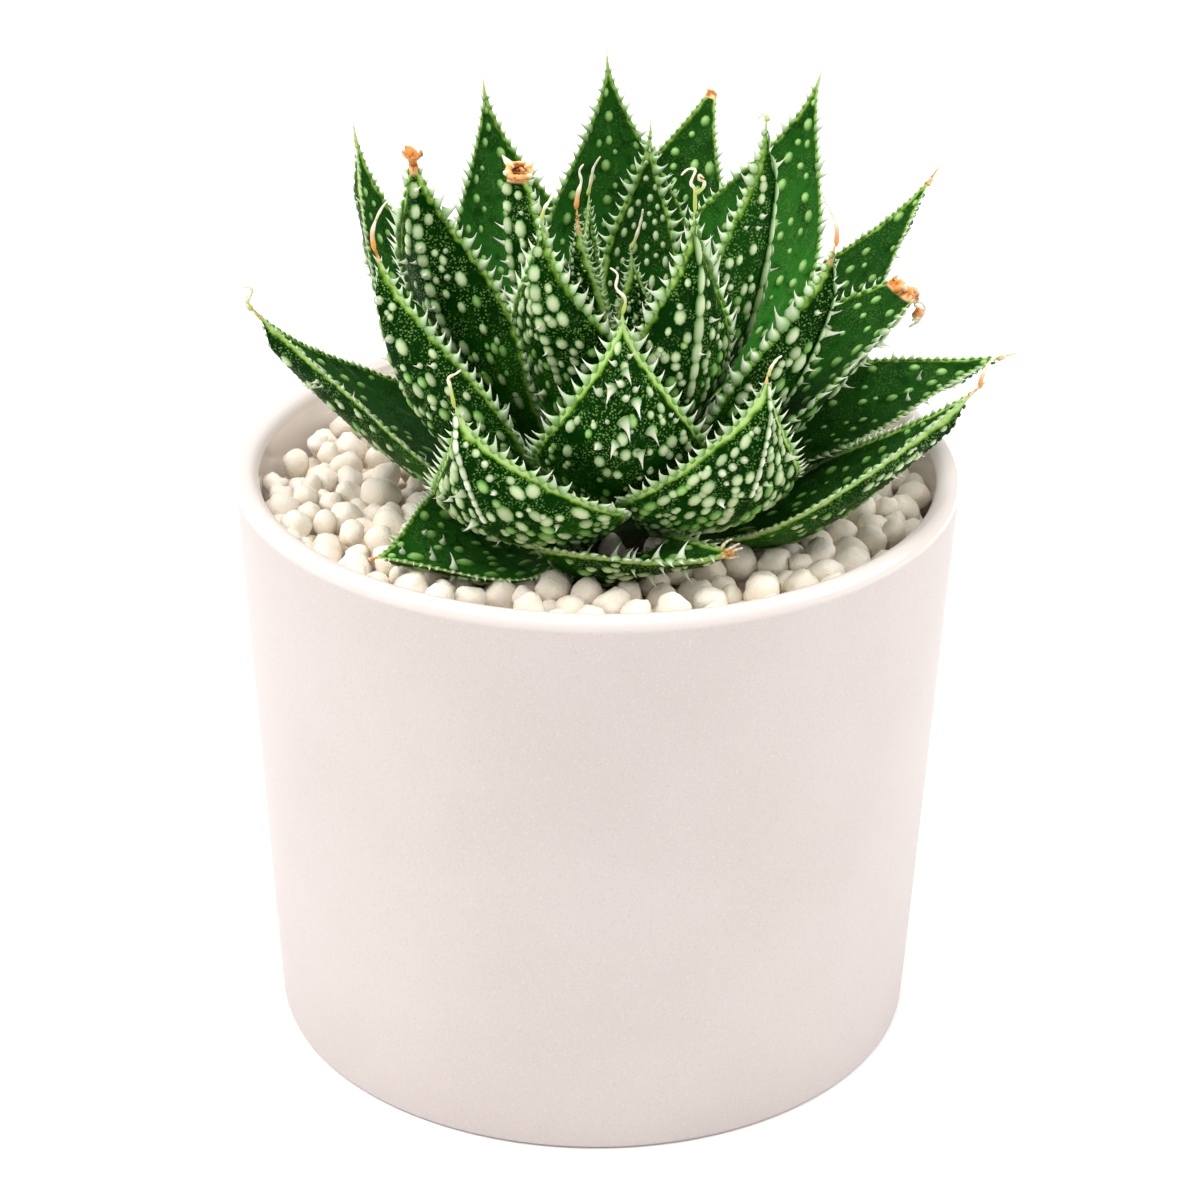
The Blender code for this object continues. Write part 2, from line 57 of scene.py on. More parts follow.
# %% [markdown]
# ## Camera
#
# The picture was taken from in front and above, with a long lens. The camera stands 24 degrees above the
# rim, and its long lens keeps the pot's sides nearly straight. The tiny turn about the line of sight is
# the lean that the pot has in the picture.

# %% Camera
CAMERA_AT = Vector((0, -516.65, 330.67)) * MM
LOOKS_AT = Vector((0.625, 0, 73.73)) * MM
LENS_MM = 102.17
CAMERA_LEAN = math.radians(0.613)

camera_data = bpy.data.cameras.new("camera")
camera_data.lens = LENS_MM
camera = bpy.data.objects.new("camera", camera_data)
scene.collection.objects.link(camera)
camera.location = CAMERA_AT
camera.rotation_mode = "QUATERNION"
sight = (LOOKS_AT - CAMERA_AT).to_track_quat("-Z", "Y")
camera.rotation_quaternion = sight @ Quaternion((0, 0, 1), CAMERA_LEAN)
scene.camera = camera
print("camera distance in mm:", round((LOOKS_AT - CAMERA_AT).length / MM))

# %% [markdown]
# ## Studio
#
# The real plant was pictured in a white tent, where light comes from all round and shadows nearly vanish.
# A white world does the same. A broad lamp overhead and weaker ones at both sides give the pot its round
# shape, brightest at the edges, and a plain pale floor catches the thin shadow under the foot.

# %% World and lamps
WORLD_STRENGTH = 0.65
LAMPS_AIM_AT = Vector((0, 0, 0.10))
LAMPS = [
    # name, place, size and power, in metres and watts
    ("lamp_top", (-0.20, -0.15, 1.30), 1.5, 18.0),
    ("lamp_left", (-1.15, -0.05, 0.95), 0.9, 6.5),
    ("lamp_right", (1.15, 0.00, 0.80), 0.9, 7.0),
]

world = bpy.data.worlds.new("white_tent")
world.use_nodes = True
world.node_tree.nodes["Background"].inputs["Color"].default_value = (1, 1, 1, 1)
world.node_tree.nodes["Background"].inputs["Strength"].default_value = WORLD_STRENGTH
scene.world = world
scene.view_settings.view_transform = "Standard"
for name, place, size, power in LAMPS:
    lamp_data = bpy.data.lights.new(name, "AREA")
    lamp_data.shape = "DISK"
    lamp_data.size = size
    lamp_data.energy = power
    lamp = bpy.data.objects.new(name, lamp_data)
    lamp.location = place
    lamp.rotation_euler = (LAMPS_AIM_AT - Vector(place)).to_track_quat("-Z", "Y").to_euler()
    scene.collection.objects.link(lamp)
print("lamps:", len(LAMPS))

# %% [markdown]
# ## Small helpers for meshes
#
# Most pieces are drawn as rings of points joined by faces, so a few short helpers do that once. Each piece
# keeps its place in its mesh, and its object stays at the origin, unturned.


# %% New pieces
def new_piece(name, points, faces, smooth=True):
    """An object at the origin, made of these points and faces."""
    mesh = bpy.data.meshes.new(name)
    mesh.from_pydata([tuple(p) for p in points], [], faces)
    if smooth:
        mesh.shade_smooth()
    piece = bpy.data.objects.new(name, mesh)
    scene.collection.objects.link(piece)
    return piece


def store(piece, name, values, kind="FLOAT"):
    """Keeps one value for each point of a piece, for a material or a node tree to read."""
    attribute = piece.data.attributes.new(name, kind, "POINT")
    key = "vector" if kind == "FLOAT_VECTOR" else "value"
    attribute.data.foreach_set(key, np.asarray(values, np.float32).ravel())


# %% Faces, and pieces joined
def ring_faces(rings, sides):
    """Quads between neighbouring rings of points, all with the same number of sides."""
    return [
        (i * sides + j, i * sides + (j + 1) % sides,
         (i + 1) * sides + (j + 1) % sides, (i + 1) * sides + j)
        for i in range(rings - 1) for j in range(sides)
    ]


def remove(piece):
    """Removes an object that was only needed on the way."""
    bpy.data.objects.remove(piece)


def joined(name, pieces):
    """One mesh of several, with all their materials."""
    with bpy.context.temp_override(active_object=pieces[0], selected_editable_objects=pieces):
        bpy.ops.object.join()
    pieces[0].name = name
    pieces[0].data.name = name
    return pieces[0]


# %% [markdown]
# ## Small helpers for node trees
#
# Teeth, warts and pebbles are one shape repeated many times, so Geometry Nodes set them out. A tree is
# built once and used with other inputs on each piece. Its result is turned into a plain mesh, because
# instances are lost when the model is exported.


# %% Trees and their inputs
def new_tree(name, inputs):
    """A geometry tree that takes a mesh and these named inputs: (name, kind, default)."""
    tree = bpy.data.node_groups.new(name, "GeometryNodeTree")
    sockets = tree.interface
    sockets.new_socket("Geometry", in_out="INPUT", socket_type="NodeSocketGeometry")
    for label, kind, default in inputs:
        socket = sockets.new_socket(label, in_out="INPUT", socket_type="NodeSocket" + kind)
        if default is not None:
            socket.default_value = default
    sockets.new_socket("Geometry", in_out="OUTPUT", socket_type="NodeSocketGeometry")
    return tree


def add_node(tree, kind, links=None, **settings):
    """A node of a tree with its settings; links gives, for an input, a value or a socket to read."""
    node = tree.nodes.new(kind)
    for key, value in settings.items():
        setattr(node, key, value)
    for key, value in (links or {}).items():
        if isinstance(value, bpy.types.NodeSocket):
            tree.links.new(value, node.inputs[key])
        else:
            node.inputs[key].default_value = value
    return node


def read_attribute(tree, name, kind):
    """The value that each point keeps under this name."""
    named = add_node(tree, "GeometryNodeInputNamedAttribute", {"Name": name}, data_type=kind)
    return named.outputs["Attribute"]


# %% A tree run on a piece
def grown(piece, tree, **inputs):
    """Runs a tree on a piece and keeps the result as the piece's plain mesh."""
    modifier = piece.modifiers.new(tree.name, "NODES")
    modifier.node_group = tree
    for socket in tree.interface.items_tree:
        key = socket.name.lower().replace(" ", "_")
        if socket.in_out == "INPUT" and key in inputs:
            modifier[socket.identifier] = inputs[key]
    view = bpy.context.evaluated_depsgraph_get()
    mesh = bpy.data.meshes.new_from_object(piece.evaluated_get(view), depsgraph=view)
    piece.modifiers.remove(modifier)
    piece.data = mesh
    return piece


# %% [markdown]
# ## Finishes
#
# Each finish is a small tree of shader nodes. Patterns read Object coordinates, which are true metres on
# every piece, or a value that the piece's own points keep, such as the distance from a leaf's margin.


# %% A finish and its patterns
def new_finish(name, roughness, specular=0.5):
    """A material with one Principled surface, and that surface."""
    material = bpy.data.materials.new(name)
    material.use_nodes = True
    surface = material.node_tree.nodes["Principled BSDF"]
    surface.inputs["Roughness"].default_value = roughness
    surface.inputs["Specular IOR Level"].default_value = specular
    return material, surface


def object_noise(tree, size, detail=2.0, stretch=(1, 1, 1)):
    """Cloudy noise whose lumps are about this many metres wide."""
    place = add_node(tree, "ShaderNodeTexCoord").outputs["Object"]
    mapped = add_node(tree, "ShaderNodeMapping", {"Vector": place, "Scale": stretch})
    links = {"Vector": mapped.outputs["Vector"], "Scale": 1 / size, "Detail": detail}
    return add_node(tree, "ShaderNodeTexNoise", links).outputs["Fac"]


def kept(tree, name):
    """The number that a piece's points keep under this name."""
    return add_node(tree, "ShaderNodeAttribute", attribute_name=name).outputs["Fac"]


# %% Values mixed and raised
def ramp(tree, value, low, high):
    """0 below low and 1 above high, with a smooth rise between."""
    links = {"Value": value, "From Min": low, "From Max": high}
    node = add_node(tree, "ShaderNodeMapRange", links, interpolation_type="SMOOTHSTEP")
    return node.outputs["Result"]


def mixed(tree, share, first, second):
    """A colour that goes from the first to the second as share goes from 0 to 1."""
    node = add_node(tree, "ShaderNodeMix", data_type="RGBA")
    for socket, value in (("Factor_Float", share), ("A_Color", first), ("B_Color", second)):
        target = next(s for s in node.inputs if s.identifier == socket)
        if isinstance(value, bpy.types.NodeSocket):
            tree.links.new(value, target)
        else:
            target.default_value = (*value, 1)
    return next(s for s in node.outputs if s.identifier == "Result_Color")


def combined(tree, kind, first, second):
    """Two numbers added, multiplied or otherwise combined."""
    return add_node(tree, "ShaderNodeMath", {0: first, 1: second}, operation=kind).outputs[0]


def bumped(tree, surface, height, depth):
    """Lets a pattern raise the surface by this many metres."""
    links = {"Height": height, "Distance": depth, "Strength": 1.0}
    bump = add_node(tree, "ShaderNodeBump", links)
    tree.links.new(bump.outputs["Normal"], surface.inputs["Normal"])


# %% [markdown]
# ## Floor
#
# A sheet of white paper big enough to fill the view. It is staging, not a part of the object.

# %% Floor
FLOOR_HALF = 3.0
PAPER_WHITE = (0.96, 0.96, 0.96, 1)
paper, surface = new_finish("white_paper", 0.9, 0.1)
surface.inputs["Base Color"].default_value = PAPER_WHITE
corners = [(x * FLOOR_HALF, y * FLOOR_HALF, 0) for x, y in ((-1, -1), (1, -1), (1, 1), (-1, 1))]
floor = new_piece("studio_floor", corners, [(0, 1, 2, 3)], smooth=False)
floor.data.materials.append(paper)
print("floor in metres:", 2 * FLOOR_HALF)

# %% [markdown]
# ## Pot
#
# The real pot was turned on a wheel and dipped in a blush white glaze. A profile of radius and height is
# drawn once and carried round the axis, which is how a potter's wheel works too. The CAD pot has few sides,
# so this one replaces it with a rounder wall and a softer lip of the same size.

# %% Sizes of the pot
RIM_RADIUS = 60 * MM
FOOT_RADIUS = 55 * MM
POT_HEIGHT = 100 * MM
WALL = 4 * MM
POT_FLOOR = 6 * MM
RIM_ROUND = 1.9 * MM
FOOT_ROUND = 1.1 * MM
INNER_ROUND = 5 * MM
POT_SIDES = 192


def outer_radius(height):
    """Radius of the wall's outer face."""
    return FOOT_RADIUS + (RIM_RADIUS - FOOT_RADIUS) * height / POT_HEIGHT


def inner_radius(height):
    """Radius of the wall's inner face."""
    return outer_radius(height) - WALL


def arc(centre_r, centre_z, radius, start, end, steps):
    """Points of a round corner in the (radius, height) plane, between two angles in degrees."""
    turns = [math.radians(start + (end - start) * i / steps) for i in range(steps + 1)]
    return [(centre_r + radius * math.cos(a), centre_z + radius * math.sin(a)) for a in turns]


# %% Turning on the wheel
def turned(name, profile, sides):
    """Carries a (radius, height) profile, which starts and ends on the axis, round the Z axis."""
    points = [(0, 0, profile[0][1]), (0, 0, profile[-1][1])]
    for radius, height in profile[1:-1]:
        for j in range(sides):
            a = 2 * math.pi * j / sides
            points.append((radius * math.cos(a), radius * math.sin(a), height))
    rings = len(profile) - 2
    faces = [tuple(n + 2 for n in face) for face in ring_faces(rings, sides)]
    last = 2 + (rings - 1) * sides
    for j in range(sides):
        faces.append((0, 2 + (j + 1) % sides, 2 + j))
        faces.append((1, last + j, last + (j + 1) % sides))
    return new_piece(name, points, faces)


print("mouth of the pot in mm:", round(2 * inner_radius(POT_HEIGHT) / MM, 1))

# %% [markdown]
# The profile starts under the foot, climbs the wall, goes over the lip, and comes down inside to the floor.
# Every corner is a short arc of points, since real clay has no sharp edge.

# %% Draw the pot
WALL_STEPS = 12
FOOT_STEPS = 6
ROUND_STEPS = 8
profile = [(0, 0), (FOOT_RADIUS * 0.5, 0)]
profile += arc(FOOT_RADIUS - FOOT_ROUND, FOOT_ROUND, FOOT_ROUND, -90, 0, FOOT_STEPS)
profile += [(outer_radius(POT_HEIGHT * i / WALL_STEPS), POT_HEIGHT * i / WALL_STEPS)
            for i in range(1, WALL_STEPS)]
profile += arc(RIM_RADIUS - RIM_ROUND, POT_HEIGHT - RIM_ROUND, RIM_ROUND, 0, 90, ROUND_STEPS)
inside_lip = RIM_RADIUS - WALL + RIM_ROUND
profile += arc(inside_lip, POT_HEIGHT - RIM_ROUND, RIM_ROUND, 90, 180, ROUND_STEPS)
corner = inner_radius(POT_FLOOR + INNER_ROUND) - INNER_ROUND
profile += arc(corner, POT_FLOOR + INNER_ROUND, INNER_ROUND, 0, -90, ROUND_STEPS)
profile += [(0, POT_FLOOR)]
pot = turned("glazed_pot", profile, POT_SIDES)
print("pot faces:", len(pot.data.polygons))

# %% [markdown]
# The glaze is satin on the wall, with a fine sandy speckle, and runs thinner and glossier over the lip and
# down the inside. The lip and the inside are also painted lighter than the wall: painted light where the lip
# catches the light, and painted light that lifts the shade of the leaves inside the pot. Height and distance
# from the axis tell the shader where it is on the pot.

# %% Numbers of the glaze
GLAZE_BLUSH = (0.565, 0.495, 0.470)
GLAZE_LIGHT = (0.590, 0.52, 0.495)
SPECKLE_PALE = (0.64, 0.57, 0.545)
SPECKLE_DARK = (0.51, 0.44, 0.415)
# The inside and the lip are painted lighter than the wall's glaze, which is painted light
GLAZE_INSIDE_PAINTED_LIGHTER = (0.81, 0.73, 0.69)
GLAZE_LIP_PAINTED_LIGHTER = (0.70, 0.63, 0.59)
# Heights between which the wall's glaze gives way to the lip's
LIP_FROM = 97.6 * MM
LIP_TO = 98.6 * MM
CLOUD_SIZE = 30 * MM
SAND_SIZE = 0.32 * MM
SAND_DEPTH = 0.03 * MM
WALL_ROUGHNESS = 0.46
LIP_ROUGHNESS = 0.16
WALL_SLOPE = (RIM_RADIUS - FOOT_RADIUS) / POT_HEIGHT

# %% Glaze
glaze, surface = new_finish("blush_glaze", WALL_ROUGHNESS)
tree = glaze.node_tree
place = add_node(tree, "ShaderNodeTexCoord").outputs["Object"]
axes = add_node(tree, "ShaderNodeSeparateXYZ", {"Vector": place})
flat = add_node(tree, "ShaderNodeCombineXYZ", {"X": axes.outputs["X"], "Y": axes.outputs["Y"]})
spread = add_node(tree, "ShaderNodeVectorMath", {0: flat.outputs["Vector"]}, operation="LENGTH")
lip = ramp(tree, axes.outputs["Z"], LIP_FROM, LIP_TO)
wall_line = combined(tree, "MULTIPLY_ADD", axes.outputs["Z"], WALL_SLOPE)
wall_line.node.inputs[2].default_value = FOOT_RADIUS - WALL * 0.5
inside = combined(tree, "LESS_THAN", spread.outputs["Value"], wall_line)
glossy = combined(tree, "MAXIMUM", lip, inside)
cloud = object_noise(tree, CLOUD_SIZE, 3)
sand = object_noise(tree, SAND_SIZE, 1)
body = mixed(tree, ramp(tree, cloud, 0.3, 0.7), GLAZE_BLUSH, GLAZE_LIGHT)
body = mixed(tree, ramp(tree, sand, 0.56, 0.80), body, SPECKLE_PALE)
body = mixed(tree, ramp(tree, sand, 0.42, 0.20), body, SPECKLE_DARK)
# Painted light: the inside and the lip take lighter colours than the wall
colour = mixed(tree, inside, body, GLAZE_INSIDE_PAINTED_LIGHTER)
colour = mixed(tree, lip, colour, GLAZE_LIP_PAINTED_LIGHTER)
tree.links.new(colour, surface.inputs["Base Color"])
shine = add_node(tree, "ShaderNodeMapRange",
                 {"Value": glossy, "To Min": WALL_ROUGHNESS, "To Max": LIP_ROUGHNESS})
tree.links.new(shine.outputs["Result"], surface.inputs["Roughness"])
dull = combined(tree, "SUBTRACT", 1.0, glossy)
bumped(tree, surface, combined(tree, "MULTIPLY", sand, dull), SAND_DEPTH)
print("nodes in the glaze:", len(tree.nodes))

# %% The pot takes its place
pot.data.materials.append(glaze)
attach(pot, "root")
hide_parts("pot")

# %% [markdown]
# ## Leaves
#
# Every leaf of the rosette follows one rule. Its middle line is a smooth curve that leaves the stem, bends
# upward and ends at the tip, and its outline is narrow at the stem, widest below the middle, and pointed.
# Across, the inner face is hollow and the outer face is full, with a keel towards the tip. A table gives
# each leaf its own numbers, the same that the CAD source uses, so each leaf lies where the frame has it.

# %% Numbers of the rosette
# Where the stem stands, its cone from the collar up, and the dome on top
STEM_X = 3.5 * MM
STEM_Y = -10 * MM
COLLAR_HEIGHT = 89 * MM
COLLAR_RADIUS = 12.5 * MM
DOME_HEIGHT = 112 * MM
DOME_RADIUS = 6.5 * MM
# How far a leaf stands off the stem
GAP = 0.3 * MM
# Handles of the middle line, as a share of its span, and the step that finds its direction
HANDLE_SHARE = 0.42
SPINE_STEP = 0.01
# Outline: where it is widest, its share at the stem, and how it swells and narrows
WIDEST_AT = 0.42
BASE_SHARE = 0.25
BASE_POWER = 1.4
TIP_POWER = 1.55
# Thickness, which grows from the stem and thins towards the tip
BLADE_THICKNESS = 4.6 * MM
LEAST_THICKNESS = 0.7 * MM
MOST_THICKNESS_SHARE = 1.1
STEM_SHARE = 0.45
THICKENING = 1.6
THINNING = 0.5
# Hollow of the inner face, and how full and how keeled the outer face is
CUP = 0.24
ROUND_POWER = 0.8
KEEL_POWER = 1.5
# Leaves narrower than this are small ones, with thinner blades
SMALL_LEAF = 12 * MM
SMALL_SCALE = 0.65
# Share of its length at which a leaf ends, for each kind of tip
ENDS_AT = {"point": 1, "thread": 1, "nipped": 0.94, "torn": 0.83}
# Rings of the CAD leaf from the stem to the last one before a pointed tip
STATIONS = 9
LAST_RING = 0.935

# %% Table of the leaves
# Name, azimuth at the stem and at the tip (0 is +X, 90 is the back), reach and height of the tip, slope
# at the stem and at the tip, width, height of the seat, roll, and how the tip ends; mm and degrees.
LEAVES = [
    ("low_1", 217, 216, 48, 99.5, 8, 4, 26, 91.6, -26, "point"),
    ("low_2", 258, 300, 34.5, 102, 7, 8, 24, 91.6, 22, "nipped"),
    ("low_3", 337, 347, 58.5, 124, 14, 42, 26, 92.5, 4, "thread"),
    ("low_4", 19, 17, 69, 115.5, 24, 12, 24, 95.0, 12, "point"),
    ("low_5", 172, 178, 59.5, 129.8, 20, 52, 32, 94.0, 20, "point"),
    ("low_6", 76, 74, 56, 108, 14, 12, 20, 92.0, 0, "point"),
    ("low_7", 122, 124, 52, 110, 14, 16, 20, 92.0, 0, "point"),
    ("mid_1", 241, 232, 41, 128, 8, 90, 33, 94.5, 12, "thread"),
    ("mid_2", 302, 308, 36, 132, 12, 94, 30, 94.0, -14, "thread"),
    ("mid_3", 271, 270, 28, 141, 30, 94, 28, 96.5, 0, "thread"),
    ("mid_4", 39, 37, 67, 141, 28, 50, 23, 98.0, 0, "point"),
    ("mid_5", 0, 8, 46.5, 131.5, 38, 36, 29, 99.0, 8, "torn"),
    ("mid_6", 204, 197, 40, 145.5, 32, 80, 27, 99.5, 30, "thread"),
    ("mid_7", 154, 150, 50.5, 152, 32, 78, 23.5, 99.0, 0, "point"),
    ("mid_8", 184, 190, 33, 156.5, 52, 84, 21, 104.5, 78, "nipped"),
    ("high_1", 128, 124, 41, 157.5, 44, 76, 29, 103.0, 0, "point"),
    ("high_2", 92, 97, 22, 166, 62, 84, 25, 108.5, 0, "point"),
    ("high_3", 80, 71.5, 48, 151.7, 34, 56, 29, 100.0, 0, "nipped"),
    ("high_4", 42, 45, 46, 160, 50, 66, 28, 105.0, 20, "point"),
    ("high_5", 338, 340, 35, 147, 40, 78, 22.5, 104.0, -20, "thread"),
    ("high_6", 338, 346, 22.5, 165, 60, 90, 21, 109.0, -22, "thread"),
    ("inner_1", 238, 238, 23, 153.5, 50, 90, 22, 106.0, 0, "thread"),
    ("inner_2", 298, 295, 25, 156, 52, 88, 19, 107.0, 0, "thread"),
    ("inner_3", 208, 205, 17.5, 156, 64, 88, 15, 110.5, 0, "torn"),
    ("inner_4", 74, 75, 17, 156, 72, 84, 13, 113.5, 0, "point"),
    ("heart_1", 232, 230, 11, 151, 78, 88, 9, 114.5, 0, "thread"),
    ("heart_2", 160, 150, 6, 149, 84, 88, 8, 115.5, 0, "thread"),
    ("heart_3", 300, 285, 5, 143, 84, 92, 8, 115.0, 0, "thread"),
    ("heart_4", 10, 20, 9, 134, 80, 86, 8, 115.0, 0, "point"),
]
print("leaves:", len(LEAVES))

# %% [markdown]
# The stem is a short cone under a dome, hidden among the leaves. A leaf needs to know its radius, to start
# on it.


# %% The stem's outline
def stem_radius(height):
    """Radius of the stem at this height."""
    if height > DOME_HEIGHT:
        return math.sqrt(max(0.0, DOME_RADIUS ** 2 - (height - DOME_HEIGHT) ** 2))
    share = (height - COLLAR_HEIGHT) / (DOME_HEIGHT - COLLAR_HEIGHT)
    return COLLAR_RADIUS + (DOME_RADIUS - COLLAR_RADIUS) * share


def stem_distance(point):
    """Distance from the stem's surface, positive outside."""
    out = math.hypot(point.x - STEM_X, point.y - STEM_Y)
    if point.z > DOME_HEIGHT:
        return math.hypot(out, point.z - DOME_HEIGHT) - DOME_RADIUS
    slant = math.atan2(COLLAR_RADIUS - DOME_RADIUS, DOME_HEIGHT - COLLAR_HEIGHT)
    return (out - stem_radius(point.z)) * math.cos(slant)


# %% [markdown]
# A leaf is described by s, which runs from 0 at the stem to 1 at the tip, and u, which runs from -1 to 1
# between its two margins. Any point of its skin then follows from s, u and the face it lies on.


# %% A leaf's middle line, directions, width and thickness
class Leaf:
    """The smooth surface of one leaf."""

    def __init__(self, row):
        (self.name, azimuth, tip_azimuth, reach, height, slope, tip_slope,
         width, seat, roll, self.tip_kind) = row
        self.half_width = width * MM / 2
        self.small = width * MM < SMALL_LEAF
        self.scale = SMALL_SCALE if self.small else 1
        self.ends_at = ENDS_AT[self.tip_kind]
        self.azimuths = (math.radians(azimuth), math.radians(tip_azimuth))
        self.roll = math.radians(roll)
        start = Vector((stem_radius(seat * MM), seat * MM))
        end = Vector((reach * MM, height * MM))
        handle = HANDLE_SHARE * (end - start).length
        slopes = (math.radians(slope), math.radians(tip_slope))
        self.controls = [
            start,
            start + handle * Vector((math.cos(slopes[0]), math.sin(slopes[0]))),
            end - handle * Vector((math.cos(slopes[1]), math.sin(slopes[1]))),
            end,
        ]
        last = 1 if self.ends_at < 1 else LAST_RING
        self.stations = [last * i / (STATIONS - 1) for i in range(STATIONS)]
        self.shifts = [0.0] * STATIONS

    def spine(self, s):
        """Place on the middle line."""
        a, b, c, d = self.controls
        flat = a * (1 - s) ** 3 + b * 3 * s * (1 - s) ** 2 + c * 3 * s * s * (1 - s) + d * s ** 3
        turn = self.azimuths[0] + (self.azimuths[1] - self.azimuths[0]) * s * s
        return Vector((STEM_X + flat.x * math.cos(turn), STEM_Y + flat.x * math.sin(turn), flat.y))

    def frame(self, s):
        """Directions along the leaf, across it, and out of its inner face."""
        ahead, behind = min(1, s + SPINE_STEP), max(0, s - SPINE_STEP)
        along = (self.spine(ahead) - self.spine(behind)).normalized()
        turn = self.azimuths[0] + (self.azimuths[1] - self.azimuths[0]) * s * s
        level = Vector((-math.sin(turn), math.cos(turn), 0))
        across = (level - along * level.dot(along)).normalized()
        inward = along.cross(across)
        roll = self.roll * s
        return (
            along,
            across * math.cos(roll) + inward * math.sin(roll),
            inward * math.cos(roll) - across * math.sin(roll),
        )

    def half_width_at(self, s):
        s = s * self.ends_at
        if s < WIDEST_AT:
            rise = math.sin(math.pi / 2 * s / WIDEST_AT) ** BASE_POWER
            share = BASE_SHARE + (1 - BASE_SHARE) * rise
        else:
            share = math.cos(math.pi / 2 * (s - WIDEST_AT) / (1 - WIDEST_AT)) ** TIP_POWER
        return self.half_width * share

    def thickness_at(self, s):
        share = min(1, STEM_SHARE + THICKENING * s) * (1 - THINNING * s)
        most = MOST_THICKNESS_SHARE * self.half_width_at(s)
        return max(LEAST_THICKNESS, min(BLADE_THICKNESS * self.scale * share, most))

    def shift_at(self, s):
        """How far the leaf is bent inward here."""
        place = min(s / self.stations[-1], 1) * (STATIONS - 1)
        i = min(int(place), STATIONS - 2)
        return self.shifts[i] + (self.shifts[i + 1] - self.shifts[i]) * (place - i)

    def point(self, s, u, outer, grow=0.0, thin=1.0):
        """Point of the inner face, or of the outer face, which is keeled towards the tip."""
        along, across, inward = self.frame(s)
        half = self.half_width_at(s)
        lift = CUP * half * u * u
        if outer:
            keel = s ** KEEL_POWER
            swell = (1 - keel) * (1 - u * u) ** ROUND_POWER + keel * (1 - abs(u))
            lift -= self.thickness_at(s) * thin * swell + grow
        elif abs(u) < 1:
            lift += grow
        return self.spine(s) + across * u * (half + grow) + inward * (lift + self.shift_at(s))


# %% [markdown]
# Leaves grow past each other without touching. The CAD source places the outermost leaf first and bends
# each later one inward until it clears those outside it. The same steps here give the same bends.

# %% Rings of the CAD leaf
# Corners too near the stem slide along the leaf, this far at most, and halving the way finds how far
SEAT_REACH = 12 * MM
SEAT_HALVINGS = 30
# Corners of a ring: u, and whether on the outer face
RING = [(1, 0), (0.5, 0), (0, 0), (-0.5, 0), (-1, 0), (-0.5, 1), (0, 1), (0.5, 1)]
SMALL_RING = [(1, 0), (0, 0), (-1, 0), (-0.45, 1), (0.45, 1)]


def core(leaf, s):
    """Place halfway between the two faces."""
    return (leaf.point(s, 0, 0) + leaf.point(s, 0, 1)) / 2


def seated(point, along):
    """Slides a point along the leaf until it lies one gap off the stem."""
    near, far = -SEAT_REACH, SEAT_REACH
    for _ in range(SEAT_HALVINGS):
        middle = (near + far) / 2
        if stem_distance(point + along * middle) < GAP:
            near = middle
        else:
            far = middle
    return point + along * far


def cad_ring(leaf, i, grow):
    """One ring of corners, kept off the stem."""
    s = leaf.stations[i]
    along = leaf.frame(s)[0]
    corners = [leaf.point(s, u, outer, grow) for u, outer in (SMALL_RING if leaf.small else RING)]
    return [seated(c, along) if i == 0 or stem_distance(c) < GAP else c for c in corners]


# %% The CAD leaf as points and faces
def cad_faces(leaf, grow=0.0):
    """The leaf as the CAD source has it, or one grown by this much on all sides."""
    rings = [cad_ring(leaf, i, grow) for i in range(STATIONS)]
    sides = len(rings[0])
    points = [p for ring in rings for p in ring]
    faces = [list(face) for face in ring_faces(STATIONS, sides)]
    base = seated(core(leaf, 0), leaf.frame(0)[0])
    tip = core(leaf, 1)
    if leaf.ends_at < 1:
        tip += leaf.frame(1)[0] * LEAST_THICKNESS
    points += [base, tip]
    for j in range(sides):
        k = (j + 1) % sides
        faces.append([len(points) - 2, k, j])
        faces.append([(STATIONS - 1) * sides + j, (STATIONS - 1) * sides + k, len(points) - 1])
    return points, faces


# %% Bend each leaf clear of those outside it
# Space between leaves, the bend of one step, the most that bends may differ from station to station
CLEAR = 0.35 * MM
BEND_STEP = 0.25 * MM
STEEPEST_BEND = 1.8 * MM
MOST_STEPS = 60


def bend_clear(leaf, tree):
    """Bends the leaf inward, a little at a time, until it no longer cuts those already placed."""
    sides = len(SMALL_RING if leaf.small else RING)
    for _ in range(MOST_STEPS):
        hits = BVHTree.FromPolygons(*cad_faces(leaf, CLEAR)).overlap(tree)
        if not hits:
            return
        for i in {min(own // sides, STATIONS - 2) for own, _ in hits}:
            leaf.shifts[i] += BEND_STEP
            leaf.shifts[i + 1] += BEND_STEP
        for i in list(range(1, STATIONS)) + list(range(STATIONS - 1))[::-1]:
            beside = i - 1 if i > 0 else 1
            leaf.shifts[i] = max(leaf.shifts[i], leaf.shifts[beside] - STEEPEST_BEND)


leaves = [Leaf(row) for row in LEAVES]
placed_points, placed_faces = [], []
for leaf in leaves:
    if placed_points:
        bend_clear(leaf, BVHTree.FromPolygons(placed_points, placed_faces))
    own_points, own_faces = cad_faces(leaf)
    placed_faces += [[n + len(placed_points) for n in face] for face in own_faces]
    placed_points += own_points
rosette_tree = BVHTree.FromPolygons(placed_points, placed_faces)
print("largest bend in mm:", round(max(max(leaf.shifts) for leaf in leaves) / MM, 2))
